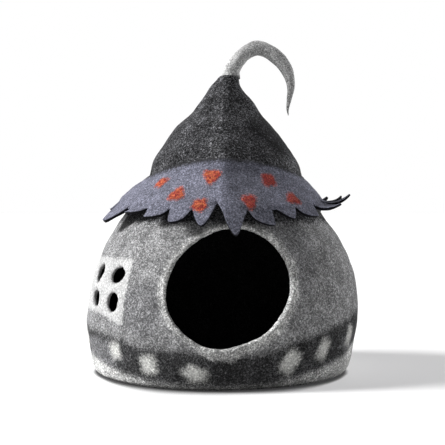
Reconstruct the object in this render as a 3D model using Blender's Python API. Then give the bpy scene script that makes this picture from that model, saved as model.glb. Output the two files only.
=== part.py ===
"""Felt cat cave: a seamless wool-felt house with a round door, a pointed roof, a flared leaf collar and a
hooked tail.

Units are metres and degrees. The origin is the middle of the flat base, +Z is up and the door faces -Y.
An azimuth is 0 at the door, 90 on the +X side and -90 on the -X side.
"""

import math
from typing import NamedTuple

import bmesh
import bpy
from mathutils import Vector

# Thicknesses and gaps
WALL = 0.008
FLOOR = 0.010
COLLAR_FELT = 0.0035
COLLAR_GAP = 0.0010
SPOT_GAP = 0.0021
SPOT_FELT = 0.0022

# Facets
SHELL_SIDES = 48
CAVITY_SIDES = 32
DOOR_SIDES = 36
LIP_SIDES = 8
WINDOW_SIDES = 14
TAIL_SIDES = 10
TAIL_RINGS = 20
SPOT_SIDES = 9


class Ring(NamedTuple):
    """One level of the outer wall: its height, its mean radius and how far it leans towards +X."""

    height: float
    radius: float
    lean: float


SHELL = (
    Ring(0.000, 0.1885, -0.004),
    Ring(0.003, 0.1990, -0.004),
    Ring(0.010, 0.2075, -0.003),
    Ring(0.024, 0.2147, -0.002),
    Ring(0.050, 0.2195, -0.002),
    Ring(0.080, 0.2237, -0.001),
    Ring(0.110, 0.2232, 0.001),
    Ring(0.140, 0.2197, 0.002),
    Ring(0.170, 0.2133, 0.003),
    Ring(0.200, 0.2015, 0.003),
    Ring(0.225, 0.1882, 0.002),
    Ring(0.245, 0.1742, 0.001),
    Ring(0.265, 0.1595, 0.002),
    Ring(0.285, 0.1470, 0.003),
    Ring(0.305, 0.1340, 0.004),
    Ring(0.320, 0.1280, 0.005),
    Ring(0.335, 0.1245, 0.005),
    Ring(0.350, 0.1185, 0.004),
    Ring(0.370, 0.1055, 0.004),
    Ring(0.390, 0.0915, 0.003),
    Ring(0.407, 0.0780, 0.003),
    Ring(0.425, 0.0590, 0.005),
    Ring(0.445, 0.0445, 0.006),
    Ring(0.465, 0.0290, 0.005),
    Ring(0.478, 0.0215, 0.007),
    Ring(0.4905, 0.0165, 0.013),
)

class Wave(NamedTuple):
    """One slow wave of the wall round its circle: its count, its share of the radius and its phase."""

    count: int
    share: float
    phase: float


UNEVENNESS = (
    Wave(3, 0.006, 1.0),
    Wave(5, 0.004, 2.0),
)

# The hollow follows the wall from the floor to where the roof grows solid.
CAVITY_HEIGHTS = (FLOOR, 0.018, 0.035, 0.065, 0.100, 0.135, 0.170, 0.200, 0.225, 0.250, 0.280, 0.315, 0.350,
                  0.385, 0.415, 0.440, 0.455)
CAVITY_FOOT = 0.010  # how much the lowest ring of the hollow is drawn in
CAVITY_FOOT_RISE = 0.020
SLOPE_STEP = 0.004  # how far apart a slope's two readings are

# The roof has a soft ridge down its front and its back.
RIDGE_RISE = 0.055
RIDGE_SPREAD = 16.0
RIDGE_BLUNT = 1.2
RIDGE_FRONT = -4.5
RIDGE_BACK = 180.0
RIDGE_FROM = 0.250
RIDGE_FULL = 0.320

# The door, seen along +Y
DOOR_X = 0.007
DOOR_Z = 0.150
DOOR_RADIUS = 0.0880
DOOR_WIDER = 0.0045  # wider than tall
DOOR_STRETCH = 0.0040  # longer on the diagonal that rises to +X
DOOR_FLAT = 0.0050  # drawn in at the lower +X side
DOOR_FLAT_AT = 285.0
DOOR_FLAT_SPREAD = 20.0
LIP_WIDTH = 0.0088
LIP_DEPTH = 0.0086
LIP_SQUARE = 0.7  # 1 for an oval roll, and less for a squarer one
DOOR_CUT_FROM = -0.300
DOOR_CUT_TO = -0.080


class Window(NamedTuple):
    """One oval window: where its middle is, its size and its slant."""

    azimuth: float
    height: float
    wide: float
    tall: float
    slant: float


WINDOWS = (
    Window(-69.3, 0.1665, 0.037, 0.021, 26.0),
    Window(-51.0, 0.1660, 0.035, 0.020, 14.0),
    Window(-67.6, 0.1268, 0.037, 0.023, -5.0),
    Window(-51.2, 0.1255, 0.031, 0.026, 0.0),
)
WINDOW_CUT_REACH = 0.030


class Leaf(NamedTuple):
    """One leaf of the collar: its first notch, its tip, its length, how it flares and curls, and its sides.

    A side is 1 where it runs straight from notch to tip, under 1 where it bulges and over 1 where it is hollow.
    """

    notch: float
    notch_height: float
    tip: float
    length: float
    flare: float
    curl: float
    before: float = 0.6
    after: float = 0.6


LEAVES = (
    Leaf(-103.0, 0.284, -101.0, 0.028, 48.0, 10.0, 0.6, 0.8),
    Leaf(-90.0, 0.286, -86.0, 0.030, 46.0, 5.0, 0.6, 0.8),
    Leaf(-74.0, 0.284, -67.8, 0.0500, 50.0, -5.0, 0.35, 0.70),
    Leaf(-54.0, 0.2770, -56.8, 0.0185, 38.0, 0.0, 0.35, 0.35),
    Leaf(-38.3, 0.2733, -38.6, 0.0225, 36.0, 0.0, 0.35, 0.32),
    Leaf(-26.0, 0.2705, -23.5, 0.0302, 38.0, 0.0, 1.4, 0.32),
    Leaf(-15.0, 0.2697, -8.8, 0.0425, 38.0, -5.0, 1.12, 0.67),
    Leaf(-3.7, 0.2801, 5.0, 0.0540, 25.0, -5.0, 1.6, 1.29),
    Leaf(11.1, 0.2694, 23.6, 0.0325, 28.5, 0.0, 0.41, 1.39),
    Leaf(22.9, 0.2696, 35.4, 0.0257, 33.4, 0.0, 1.6, 1.37),
    Leaf(38.9, 0.2739, 53.0, 0.0288, 38.0, 5.0, 0.35, 0.35),
    Leaf(54.6, 0.2785, 60.8, 0.0555, 70.0, 62.0, 1.05, 0.56),
    Leaf(71.3, 0.2860, 79.0, 0.0655, 80.0, 70.0, 0.8, 1.06),
    Leaf(84.4, 0.2905, 99.6, 0.0550, 82.0, 76.0, 1.48, 1.11),
    Leaf(95.0, 0.284, 103.1, 0.0267, 103.0, 51.0, 0.83, 1.3),
    Leaf(108.5, 0.282, 114.0, 0.028, 46.0, 8.0),
    Leaf(122.0, 0.277, 127.6, 0.035, 70.0, 12.0),
    Leaf(135.5, 0.282, 140.5, 0.031, 56.0, 12.0),
    Leaf(149.0, 0.279, 153.5, 0.038, 63.0, 12.0),
    Leaf(162.5, 0.278, 166.7, 0.040, 66.0, 12.0),
    Leaf(176.0, 0.283, 180.1, 0.033, 54.0, 12.0),
    Leaf(189.5, 0.277, 193.6, 0.033, 69.0, 12.0),
    Leaf(203.0, 0.281, 207.3, 0.040, 59.0, 12.0),
    Leaf(216.5, 0.281, 221.2, 0.038, 59.0, 12.0),
    Leaf(230.0, 0.277, 235.3, 0.031, 69.0, 12.0),
    Leaf(243.5, 0.283, 249.4, 0.035, 54.0, 12.0),
)
LEAF_ROWS = 4
SKIRT_ROWS = 5
LEAF_STEPS = 6
TIP_ROUND = 1.6  # 1 for a pointed tip, and more for a rounder one
TIP_EDGE = 0.22  # the least share of its leaf that lies on either side of a tip

# The collar's top edge rises at the front and the back, and its skirt flares away from the wall.
COLLAR_TOP = 0.321
COLLAR_TOP_RISE = 0.026
FLARE_FROM = 0.325
FLARE_SLOPE = 0.69
FLARE_BEND = 4.0
FLARE_SLOPE_LEAN = 0.20  # the skirt stands off more on the -X side
FLARE_BEND_LEAN = 2.0


class Spot(NamedTuple):
    """One needled tuft: its place on the collar, its size and the turn of its outline."""

    azimuth: float
    height: float
    wide: float
    tall: float
    corners: int
    turn: float


SPOTS = (
    Spot(-43.0, 0.3096, 0.0205, 0.0150, 4, 35.0),
    Spot(-25.6, 0.2905, 0.0235, 0.0190, 3, 90.0),
    Spot(-8.3, 0.3185, 0.0250, 0.0210, 3, -92.0),
    Spot(-11.2, 0.2738, 0.0230, 0.0195, 5, 60.0),
    Spot(28.4, 0.3132, 0.0245, 0.0205, 4, 45.0),
    Spot(12.2, 0.2800, 0.0215, 0.0200, 3, -85.0),
    Spot(39.2, 0.2837, 0.0250, 0.0160, 3, -40.0),
    Spot(96.0, 0.3008, 0.021, 0.017, 3, 80.0),
    Spot(124.0, 0.3108, 0.024, 0.018, 5, 10.0),
    Spot(152.0, 0.2958, 0.020, 0.018, 4, 30.0),
    Spot(180.0, 0.3148, 0.023, 0.017, 4, 0.0),
    Spot(-152.0, 0.2968, 0.022, 0.016, 3, -80.0),
    Spot(-124.0, 0.3098, 0.021, 0.019, 5, 30.0),
    Spot(-97.0, 0.3018, 0.022, 0.015, 4, 50.0),
)


SPOT_CORNER = 0.16  # how far a tuft's corners stand out of its oval
SPOT_EDGE = 0.97
SPOT_TOP = 0.55


class TailPoint(NamedTuple):
    """One point of the tail's middle line, in the plane y = 0, and the tail's radius there."""

    x: float
    z: float
    radius: float


TAIL = (
    TailPoint(0.0140, 0.4908, 0.0150),
    TailPoint(0.0165, 0.5000, 0.0134),
    TailPoint(0.0270, 0.5165, 0.0120),
    TailPoint(0.0400, 0.5285, 0.0119),
    TailPoint(0.0560, 0.5355, 0.0124),
    TailPoint(0.0735, 0.5315, 0.0122),
    TailPoint(0.0900, 0.5205, 0.0116),
    TailPoint(0.1030, 0.5060, 0.0107),
    TailPoint(0.1110, 0.4880, 0.0086),
    TailPoint(0.1138, 0.4700, 0.0062),
    TailPoint(0.1110, 0.4510, 0.0040),
    TailPoint(0.1085, 0.4350, 0.0022),
    TailPoint(0.1095, 0.4240, 0.0010),
)
TAIL_STEP = 0.01

COLOURS = {
    "cave_shell": (0.22, 0.22, 0.23),
    "leaf_collar": (0.17, 0.17, 0.23),
    "tail_curl": (0.45, 0.45, 0.44),
    "collar_spot": (0.62, 0.10, 0.03),
}
FELT_ROUGHNESS = 0.95


def clear_scene():
    """Remove every object of the scene."""
    for obj in list(bpy.data.objects):
        bpy.data.objects.remove(obj)


def felt(name, colour):
    """A matt wool felt of one colour."""
    material = bpy.data.materials.new(name)
    material.use_nodes = True
    shader = material.node_tree.nodes["Principled BSDF"]
    shader.inputs["Base Color"].default_value = (*colour, 1.0)
    shader.inputs["Roughness"].default_value = FELT_ROUGHNESS
    shader.inputs["Metallic"].default_value = 0.0
    return material


def object_from(bm, name, material=None):
    """The finished mesh as an object of the scene."""
    bmesh.ops.recalc_face_normals(bm, faces=bm.faces)
    mesh = bpy.data.meshes.new(name)
    bm.to_mesh(mesh)
    bm.free()
    mesh.shade_smooth()
    mesh.set_sharp_from_angle(angle=math.radians(40.0))
    obj = bpy.data.objects.new(name, mesh)
    bpy.context.collection.objects.link(obj)
    if material:
        mesh.materials.append(material)
    return obj


def helper(obj):
    """Mark an object as a cutter that is no part of the cave."""
    obj.hide_render = True
    obj.display_type = "WIRE"
    return obj


def boolean(obj, other, operation):
    """Join or cut obj with a helper."""
    modifier = obj.modifiers.new(f"{operation.lower()}_{other.name}", "BOOLEAN")
    modifier.operation = operation
    modifier.solver = "EXACT"
    modifier.object = other


def skin(bm, rings, capped=True):
    """Faces between neighbouring closed rings of points, with a cap on each end."""
    loops = [[bm.verts.new(point) for point in ring] for ring in rings]
    for lower, upper in zip(loops, loops[1:]):
        for i, start in enumerate(lower):
            j = (i + 1) % len(lower)
            bm.faces.new((start, lower[j], upper[j], upper[i]))
    if capped:
        bm.faces.new(reversed(loops[0]))
        bm.faces.new(loops[-1])


def smooth_step(value):
    """0 below 0, 1 above 1 and an S between."""
    value = min(max(value, 0.0), 1.0)
    return value * value * (3.0 - 2.0 * value)


def through_rows(rows, at):
    """Each column's value where the first column is at, read from a smooth curve through the rows."""
    last = len(rows) - 2
    i = min(max(sum(1 for row in rows if row[0] <= at) - 1, 0), last)
    before, start, end, after = (rows[min(max(k, 0), last + 1)] for k in (i - 1, i, i + 1, i + 2))
    span = end[0] - start[0]
    t = min(max((at - start[0]) / span, 0.0), 1.0)
    values = []
    for column in range(len(start)):
        slope_in = (end[column] - before[column]) / (end[0] - before[0])
        slope_out = (after[column] - start[column]) / (after[0] - start[0])
        values.append(
            start[column] * (1 + 2 * t) * (1 - t) ** 2
            + end[column] * t * t * (3 - 2 * t)
            + span * (slope_in * t * (1 - t) ** 2 - slope_out * t * t * (1 - t))
        )
    return values


def unevenness(azimuth):
    """The share by which the hand-rolled wall leaves a true circle."""
    turn = math.radians(azimuth)
    return sum(wave.share * math.cos(wave.count * turn + wave.phase) for wave in UNEVENNESS)


def ridge(azimuth, height):
    """The share by which the roof's front and back ridges stand out."""
    from_ridge = min(abs((azimuth - at + 180.0) % 360.0 - 180.0) for at in (RIDGE_FRONT, RIDGE_BACK))
    blunt = math.hypot(from_ridge, RIDGE_BLUNT) - RIDGE_BLUNT
    zone = smooth_step((height - RIDGE_FROM) / (RIDGE_FULL - RIDGE_FROM))
    return RIDGE_RISE * math.exp(-blunt / RIDGE_SPREAD) * zone


def wall_radius(azimuth, height):
    """The outer wall's radius and its lean at a place."""
    _, radius, lean = through_rows(SHELL, height)
    return radius * (1.0 + unevenness(azimuth) + ridge(azimuth, height)), lean


def around(azimuth, radius, lean, height):
    """The point at an azimuth and a radius."""
    turn = math.radians(azimuth)
    return Vector((lean + radius * math.sin(turn), -radius * math.cos(turn), height))


def wall_ring(height, sides, inset=0.0):
    """A ring of points on the wall, or inset from it."""
    points = []
    for i in range(sides):
        azimuth = 360.0 * i / sides
        radius, lean = wall_radius(azimuth, height)
        points.append(around(azimuth, radius - inset, lean, height))
    return points


def slope_of(height):
    """How fast the wall draws in with height."""
    low = through_rows(SHELL, max(height - SLOPE_STEP, 0.0))[1]
    high = through_rows(SHELL, height + SLOPE_STEP)[1]
    return (low - high) / (2 * SLOPE_STEP)


def door_radius(angle):
    """The door's radius at an angle from +X towards +Z."""
    turn = math.radians(angle)
    from_flat = (angle - DOOR_FLAT_AT + 180.0) % 360.0 - 180.0
    flat = DOOR_FLAT * math.exp(-((from_flat / DOOR_FLAT_SPREAD) ** 2))
    return DOOR_RADIUS + DOOR_WIDER * math.cos(turn) ** 4 + DOOR_STRETCH * math.sin(2 * turn) - flat


def wall_front(x, z, inset=0.0):
    """The y of the front of the wall at a given x and z."""
    azimuth = 0.0
    for _ in range(6):
        radius, lean = wall_radius(azimuth, z)
        azimuth = math.degrees(math.asin((x - lean) / (radius - inset)))
    return -(radius - inset) * math.cos(math.radians(azimuth))


def door_cutter():
    """The door's outline, drawn out along Y."""
    bm = bmesh.new()
    rings = []
    for y in (DOOR_CUT_FROM, DOOR_CUT_TO):
        ring = []
        for i in range(DOOR_SIDES):
            angle = 360.0 * i / DOOR_SIDES
            radius = door_radius(angle)
            x = DOOR_X + radius * math.cos(math.radians(angle))
            ring.append(Vector((x, y, DOOR_Z + radius * math.sin(math.radians(angle)))))
        rings.append(ring)
    skin(bm, rings)
    return helper(object_from(bm, "door_cutter"))


def squared(part):
    """A share of an oval's half width, moved to where a squarer roll has it."""
    return math.copysign(abs(part) ** LIP_SQUARE, part)


def door_lip():
    """The rolled lip that runs round the door's edge."""
    bm = bmesh.new()
    rings = []
    for i in range(DOOR_SIDES):
        angle = 360.0 * i / DOOR_SIDES
        turn = math.radians(angle)
        outward = Vector((math.cos(turn), 0.0, math.sin(turn)))
        radius = door_radius(angle) + LIP_WIDTH
        x, z = DOOR_X + radius * outward.x, DOOR_Z + radius * outward.z
        middle = Vector((x, wall_front(x, z, WALL / 2), z))
        near = Vector((x - SLOPE_STEP * outward.x, 0.0, z - SLOPE_STEP * outward.z))
        near.y = wall_front(near.x, near.z, WALL / 2)
        across = (middle - near).normalized()
        along = Vector((-outward.z, 0.0, outward.x))
        through = across.cross(along).normalized()
        ring = []
        for k in range(LIP_SIDES):
            around_lip = 2 * math.pi * k / LIP_SIDES
            offset = across * LIP_WIDTH * squared(math.cos(around_lip))
            offset += through * LIP_DEPTH * squared(math.sin(around_lip))
            ring.append(middle + offset)
        rings.append(ring)
    rings.append(rings[0])
    skin(bm, rings, capped=False)
    bmesh.ops.remove_doubles(bm, verts=bm.verts, dist=1e-6)
    return helper(object_from(bm, "door_lip"))


def cavity():
    """The hollow inside the wall."""
    bm = bmesh.new()
    rings = []
    for height in CAVITY_HEIGHTS:
        foot = CAVITY_FOOT * (1.0 - smooth_step((height - FLOOR) / CAVITY_FOOT_RISE))
        inset = WALL * math.hypot(1.0, slope_of(height)) + foot
        rings.append(wall_ring(height, CAVITY_SIDES, inset))
    skin(bm, rings)
    return helper(object_from(bm, "cavity"))


def window_cutter(index, window):
    """One oval window, drawn out along its own azimuth."""
    bm = bmesh.new()
    radius, lean = wall_radius(window.azimuth, window.height)
    middle = around(window.azimuth, radius, lean, window.height)
    outward = (around(window.azimuth, radius + 1.0, lean, window.height) - middle).normalized()
    sideways = Vector((-outward.y, outward.x, 0.0))
    upward = Vector((0.0, 0.0, 1.0))
    slant = math.radians(window.slant)
    rings = []
    for depth in (-WINDOW_CUT_REACH, WINDOW_CUT_REACH):
        ring = []
        for k in range(WINDOW_SIDES):
            turn = 2 * math.pi * k / WINDOW_SIDES
            wide = window.wide / 2 * math.cos(turn)
            tall = window.tall / 2 * math.sin(turn)
            across = wide * math.cos(slant) - tall * math.sin(slant)
            up = wide * math.sin(slant) + tall * math.cos(slant)
            ring.append(middle + outward * depth + sideways * across + upward * up)
        rings.append(ring)
    skin(bm, rings)
    return helper(object_from(bm, f"window_cutter_{index}"))


def make_shell():
    """The seamless wall, its hollow, its lipped door and its windows."""
    bm = bmesh.new()
    skin(bm, [wall_ring(ring.height, SHELL_SIDES) for ring in SHELL])
    shell = object_from(bm, "cave_shell", felt("grey_wool", COLOURS["cave_shell"]))
    boolean(shell, cavity(), "DIFFERENCE")
    boolean(shell, door_cutter(), "DIFFERENCE")
    boolean(shell, door_lip(), "UNION")
    for index, window in enumerate(WINDOWS):
        boolean(shell, window_cutter(index, window), "DIFFERENCE")
    return shell


def collar_top(azimuth):
    """The height of the collar's top edge."""
    return COLLAR_TOP + COLLAR_TOP_RISE * math.cos(math.radians(azimuth)) ** 2


def skirt(azimuth, height):
    """The underside of the collar above its notches: radius, lean, and its angle from straight down."""
    radius, lean = wall_radius(azimuth, height)
    drop = FLARE_FROM - height
    if drop <= 0.0:
        return radius + COLLAR_GAP, lean, math.atan(slope_of(height))
    side = math.sin(math.radians(azimuth))
    slope = FLARE_SLOPE - FLARE_SLOPE_LEAN * side
    bend = FLARE_BEND + FLARE_BEND_LEAN * side
    at_flare, lean = wall_radius(azimuth, FLARE_FROM)
    flared = at_flare + COLLAR_GAP + slope * drop + bend * drop * drop
    return max(flared, radius + COLLAR_GAP), lean, math.atan(slope + 2 * bend * drop)


def leaf_point(azimuth, root_height, leaf, distance):
    """The underside of a leaf, a distance down from the line of its notches."""
    radius, lean, angle = skirt(azimuth, root_height)
    height = root_height
    step = distance / LEAF_STEPS
    for k in range(LEAF_STEPS):
        share = min((k + 0.5) * step / leaf.length, 1.0)
        bend = angle + (math.radians(leaf.flare) - angle) * smooth_step(2.0 * share)
        bend += math.radians(leaf.curl) * share * share
        radius += step * math.sin(bend)
        height -= step * math.cos(bend)
    return around(azimuth, radius, lean, height)


def tip_share(leaf, after):
    """How far across its leaf the tip's column stands."""
    return min(max((leaf.tip - leaf.notch) / (after - leaf.notch), TIP_EDGE), 1.0 - TIP_EDGE)


def leaf_edge(leaf, after, share):
    """Where the column at a share of the leaf's width ends: azimuth and distance from the notch line."""
    at_tip = tip_share(leaf, after)
    start, rise = (leaf.notch, share / at_tip) if share <= at_tip else (after, (1.0 - share) / (1.0 - at_tip))
    fall = 1.0 - (1.0 - min(max(rise, 0.0), 1.0)) ** TIP_ROUND
    side = leaf.before if share <= at_tip else leaf.after
    return start + (leaf.tip - start) * rise, leaf.length * fall**side


def make_collar():
    """The flared collar, cut into leaves along its free edge."""
    bm = bmesh.new()
    columns = []
    for index, leaf in enumerate(LEAVES):
        following = LEAVES[(index + 1) % len(LEAVES)]
        after = following.notch + (360.0 if following.notch < leaf.notch else 0.0)
        at_tip = tip_share(leaf, after)
        for share in (0.0, at_tip / 2, at_tip, (1.0 + at_tip) / 2):
            azimuth = leaf.notch + (after - leaf.notch) * share
            root = leaf.notch_height + (following.notch_height - leaf.notch_height) * share
            end_azimuth, end_distance = leaf_edge(leaf, after, share)
            column = []
            for row in range(SKIRT_ROWS + 1):
                height = collar_top(azimuth) + (root - collar_top(azimuth)) * row / SKIRT_ROWS
                radius, lean, _ = skirt(azimuth, height)
                column.append(bm.verts.new(around(azimuth, radius, lean, height)))
            for row in range(1, LEAF_ROWS + 1):
                if share == 0.0:
                    break
                along = row / LEAF_ROWS
                at = azimuth + (end_azimuth - azimuth) * along
                column.append(bm.verts.new(leaf_point(at, root, leaf, end_distance * along)))
            columns.append(column)
    for left, right in zip(columns, columns[1:] + columns[:1]):
        for row in range(max(len(left), len(right)) - 1):
            corners = []
            for column, at in ((left, row), (left, row + 1), (right, row + 1), (right, row)):
                corner = column[min(at, len(column) - 1)]
                if corner not in corners:
                    corners.append(corner)
            bm.faces.new(corners)
    collar = object_from(bm, "leaf_collar", felt("blue_grey_wool", COLOURS["leaf_collar"]))
    thickness = collar.modifiers.new("felt", "SOLIDIFY")
    thickness.thickness = COLLAR_FELT
    thickness.offset = 1.0
    return collar


def collar_face(azimuth, height):
    """A point on the collar's outer face and the outward direction there."""
    points = []
    for turn, up in ((0.0, 0.0), (0.5, 0.0), (0.0, SLOPE_STEP)):
        radius, lean, _ = skirt(azimuth + turn, height + up)
        points.append(around(azimuth + turn, radius, lean, height + up))
    outward = (points[1] - points[0]).cross(points[2] - points[0]).normalized()
    return points[0] + outward * COLLAR_FELT, outward


def spot_ring(spot, scale, lift):
    """A ring of the tuft's outline, shrunk by scale and lifted off the collar."""
    middle_radius = skirt(spot.azimuth, spot.height)[0]
    points = []
    for k in range(SPOT_SIDES):
        turn = 2 * math.pi * k / SPOT_SIDES
        bulge = 1.0 + SPOT_CORNER * math.cos(spot.corners * (turn - math.radians(spot.turn)))
        across = scale * bulge * spot.wide / 2 * math.cos(turn)
        up = scale * bulge * spot.tall / 2 * math.sin(turn)
        azimuth = spot.azimuth + math.degrees(across / middle_radius)
        point, outward = collar_face(azimuth, spot.height + up)
        points.append(point + outward * lift)
    return points


def make_spot(index, spot, material):
    """One needled tuft, a small low pad just off the collar's face."""
    bm = bmesh.new()
    rings = [
        spot_ring(spot, 1.0, SPOT_GAP),
        spot_ring(spot, SPOT_EDGE, SPOT_GAP + SPOT_FELT / 2),
        spot_ring(spot, SPOT_TOP, SPOT_GAP + SPOT_FELT),
    ]
    skin(bm, rings)
    return object_from(bm, f"collar_spot_{index:02d}", material)


def tail_path(share):
    """The tail's middle line and radius, as x, z, radius, at a share of its points."""
    rows = [(float(i), *point) for i, point in enumerate(TAIL)]
    _, x, z, radius = through_rows(rows, share * (len(TAIL) - 1))
    return x, z, radius


def make_tail():
    """The solid hooked tail, standing on the top of the roof."""
    bm = bmesh.new()
    rings = []
    for i in range(TAIL_RINGS + 1):
        share = i / TAIL_RINGS
        x, z, radius = tail_path(share)
        if i == 0:
            along = Vector((0.0, 0.0, 1.0))
        else:
            before = tail_path(max(share - TAIL_STEP, 0.0))
            beyond = tail_path(min(share + TAIL_STEP, 1.0))
            along = Vector((beyond[0] - before[0], 0.0, beyond[1] - before[1])).normalized()
        inward = Vector((0.0, 1.0, 0.0))
        sideways = along.cross(inward)
        ring = []
        for k in range(TAIL_SIDES):
            turn = 2 * math.pi * k / TAIL_SIDES
            offset = sideways * (radius * math.cos(turn)) + inward * (radius * math.sin(turn))
            ring.append(Vector((x, 0.0, z)) + offset)
        rings.append(ring)
    skin(bm, rings)
    return object_from(bm, "tail_curl", felt("pale_wool", COLOURS["tail_curl"]))


def main():
    clear_scene()
    make_shell()
    make_collar()
    make_tail()
    orange = felt("orange_wool", COLOURS["collar_spot"])
    for index, spot in enumerate(SPOTS, start=1):
        make_spot(index, spot, orange)


main()
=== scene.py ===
"""The finished look of a felt cat cave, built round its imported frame.

The cave is one seamless piece of wet-felted wool with a round door, four small windows, a pointed roof, a
flared collar cut into leaves and a hooked tail. Everything is in metres. The origin is the middle of the
flat base, +Z is up and the door faces -Y. An azimuth is in degrees, 0 at the door, 90 on the +X side.
"""

import logging
import math
from dataclasses import dataclass, field
from enum import Enum

import bmesh
import bpy
import numpy as np
from mathutils import Matrix, Vector, noise
from mathutils.bvhtree import BVHTree


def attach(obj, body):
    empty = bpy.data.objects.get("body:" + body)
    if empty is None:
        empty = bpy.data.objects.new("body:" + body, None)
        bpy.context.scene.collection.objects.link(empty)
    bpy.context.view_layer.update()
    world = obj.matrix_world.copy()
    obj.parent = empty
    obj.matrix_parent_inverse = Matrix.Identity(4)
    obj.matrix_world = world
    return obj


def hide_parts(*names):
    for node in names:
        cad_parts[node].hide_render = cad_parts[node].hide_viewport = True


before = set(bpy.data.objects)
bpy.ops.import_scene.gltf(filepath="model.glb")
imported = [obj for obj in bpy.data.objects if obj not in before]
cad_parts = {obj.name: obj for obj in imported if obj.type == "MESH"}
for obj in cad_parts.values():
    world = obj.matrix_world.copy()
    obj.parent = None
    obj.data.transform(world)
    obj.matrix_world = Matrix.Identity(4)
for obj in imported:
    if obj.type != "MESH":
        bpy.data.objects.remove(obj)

log = logging.getLogger("felt_cat_cave")

BMesh, Mesh, Object = bmesh.types.BMesh, bpy.types.Mesh, bpy.types.Object
Socket, Material = bpy.types.NodeSocket, bpy.types.Material
Numbers = np.ndarray | float
Colour = tuple[int, int, int]

BODY = "root"
UP = Vector((0.0, 0.0, 1.0))
BACKWARDS = Vector((0.0, 1.0, 0.0))
# The depth that is stored for a point far outside a region of coloured wool, painted shade or painted highlight.
FAR_OUT = -0.05
# Points nearer than this are one point, and the least length that anything is divided by, in metres.
SAME_POINT = 1e-5
TINY = 1e-6


class Slot(Enum):
    """The record's material slots."""

    GREY_WOOL = "grey_wool"
    BLUE_GREY_WOOL = "blue_grey_wool"
    PALE_WOOL = "pale_wool"
    ORANGE_WOOL = "orange_wool"


# Numbers and meshes


def table(kind: type, *rows: tuple) -> tuple:
    """Rows of plain numbers as objects of one kind."""
    return tuple(kind(*row) for row in rows)


def column(rows: tuple, name: str) -> np.ndarray:
    """One field of every row of a table."""
    return np.array([getattr(row, name) for row in rows])


def smooth_step(value: Numbers) -> Numbers:
    """0 below 0, 1 above 1 and an S between."""
    value = np.clip(value, 0.0, 1.0)
    return value * value * (3.0 - 2.0 * value)


def smooth_rows(keys: np.ndarray, values: np.ndarray, at: np.ndarray) -> np.ndarray:
    """Read a smooth curve that goes through a table's rows.

    Args:
        keys: The rows' rising keys.
        values: The rows' values.
        at: Where to read the curve.

    Returns:
        The curve's values.
    """
    near, far = np.pad(keys, 1, mode="edge"), np.pad(values, 1, mode="edge")
    slopes = (far[2:] - far[:-2]) / (near[2:] - near[:-2])
    at = np.clip(at, keys[0], keys[-1])
    i = np.clip(np.searchsorted(keys, at, side="right") - 1, 0, len(keys) - 2)
    span = keys[i + 1] - keys[i]
    t = (at - keys[i]) / span
    return (
        values[i] * (1 + 2 * t) * (1 - t) ** 2
        + values[i + 1] * t * t * (3 - 2 * t)
        + span * (slopes[i] * t * (1 - t) ** 2 - slopes[i + 1] * t * t * (1 - t))
    )


def turned(angles: Numbers) -> Numbers:
    """Angles in degrees brought between -180 and 180."""
    return (angles + 180.0) % 360.0 - 180.0


def face_out(bm: BMesh) -> None:
    """Turn a closed mesh's faces outwards."""
    bmesh.ops.recalc_face_normals(bm, faces=bm.faces)


def spin(bm: BMesh, axis: Vector, steps: int, angle: float = 2 * math.pi, rise: float = 0.0) -> None:
    """Sweep a line about the origin, and merge it where it comes round.

    Args:
        bm: A mesh that holds only the line.
        axis: What the line turns about.
        steps: In how many steps.
        angle: How far it turns in all, in radians.
        rise: How far it climbs at each step.
    """
    bmesh.ops.spin(bm, geom=list(bm.verts) + list(bm.edges), cent=(0.0, 0.0, 0.0), axis=axis, dvec=UP * rise,
                   angle=angle, steps=steps, use_merge=angle > 0.0)


def object_of(bm: BMesh, name: str) -> Object:
    """Make an object of a finished bmesh.

    Args:
        bm: The mesh, which is freed.
        name: The object's name.

    Returns:
        The new object, at the origin.
    """
    mesh = bpy.data.meshes.new(name)
    bm.to_mesh(mesh)
    bm.free()
    mesh.shade_smooth()
    obj = bpy.data.objects.new(name, mesh)
    bpy.context.scene.collection.objects.link(obj)
    return obj


def surface_of(obj: Object) -> BVHTree:
    """An object's faces, for finding places on them."""
    mesh = obj.data
    return BVHTree.FromPolygons([vert.co for vert in mesh.vertices], [face.vertices[:] for face in mesh.polygons])


def bake_modifiers(obj: Object) -> None:
    """Make the object's mesh what its modifiers show, and drop them.

    Args:
        obj: The object to settle.
    """
    graph = bpy.context.evaluated_depsgraph_get()
    settled = bpy.data.meshes.new_from_object(obj.evaluated_get(graph))
    obj.modifiers.clear()
    obj.data = settled
    settled.shade_smooth()


def points_of(mesh: Mesh, what: str = "co") -> np.ndarray:
    """Read the mesh's points.

    Args:
        mesh: The mesh.
        what: "co" for their places or "normal" for their normals.

    Returns:
        Rows of x, y, z.
    """
    flat = np.empty(len(mesh.vertices) * 3, np.float32)
    mesh.vertices.foreach_get(what, flat)
    return flat.reshape(-1, 3).astype(np.float64)


def set_points(mesh: Mesh, points: np.ndarray) -> None:
    """Move the mesh's points to these rows of x, y, z."""
    mesh.vertices.foreach_set("co", points.astype(np.float32).ravel())
    mesh.update()


def paint(mesh: Mesh, name: str, values: np.ndarray) -> None:
    """Store one number for each point, for the wool's nodes to read."""
    layer = mesh.attributes.new(name, "FLOAT", "POINT")
    layer.data.foreach_set("value", np.asarray(values, np.float32))


@dataclass(frozen=True)
class Lump:
    """One size of the soft lumps that felting leaves: how high, how wide and where in the noise.

    The height is in metres, or on the tail a share of its radius.
    """

    height: float
    width: float
    seed: float

    def at(self, points: np.ndarray | list[Vector]) -> np.ndarray:
        """How far the lumps lift each point."""
        shift = Vector((self.seed, -self.seed, 2 * self.seed))
        return self.height * np.array([noise.noise(Vector(point) / self.width + shift) for point in points])


# The cave's form


@dataclass(frozen=True)
class WallRow:
    """One level of the outer wall: its height, its mean radius and how far it leans towards +X."""

    height: float
    radius: float
    lean: float


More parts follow.
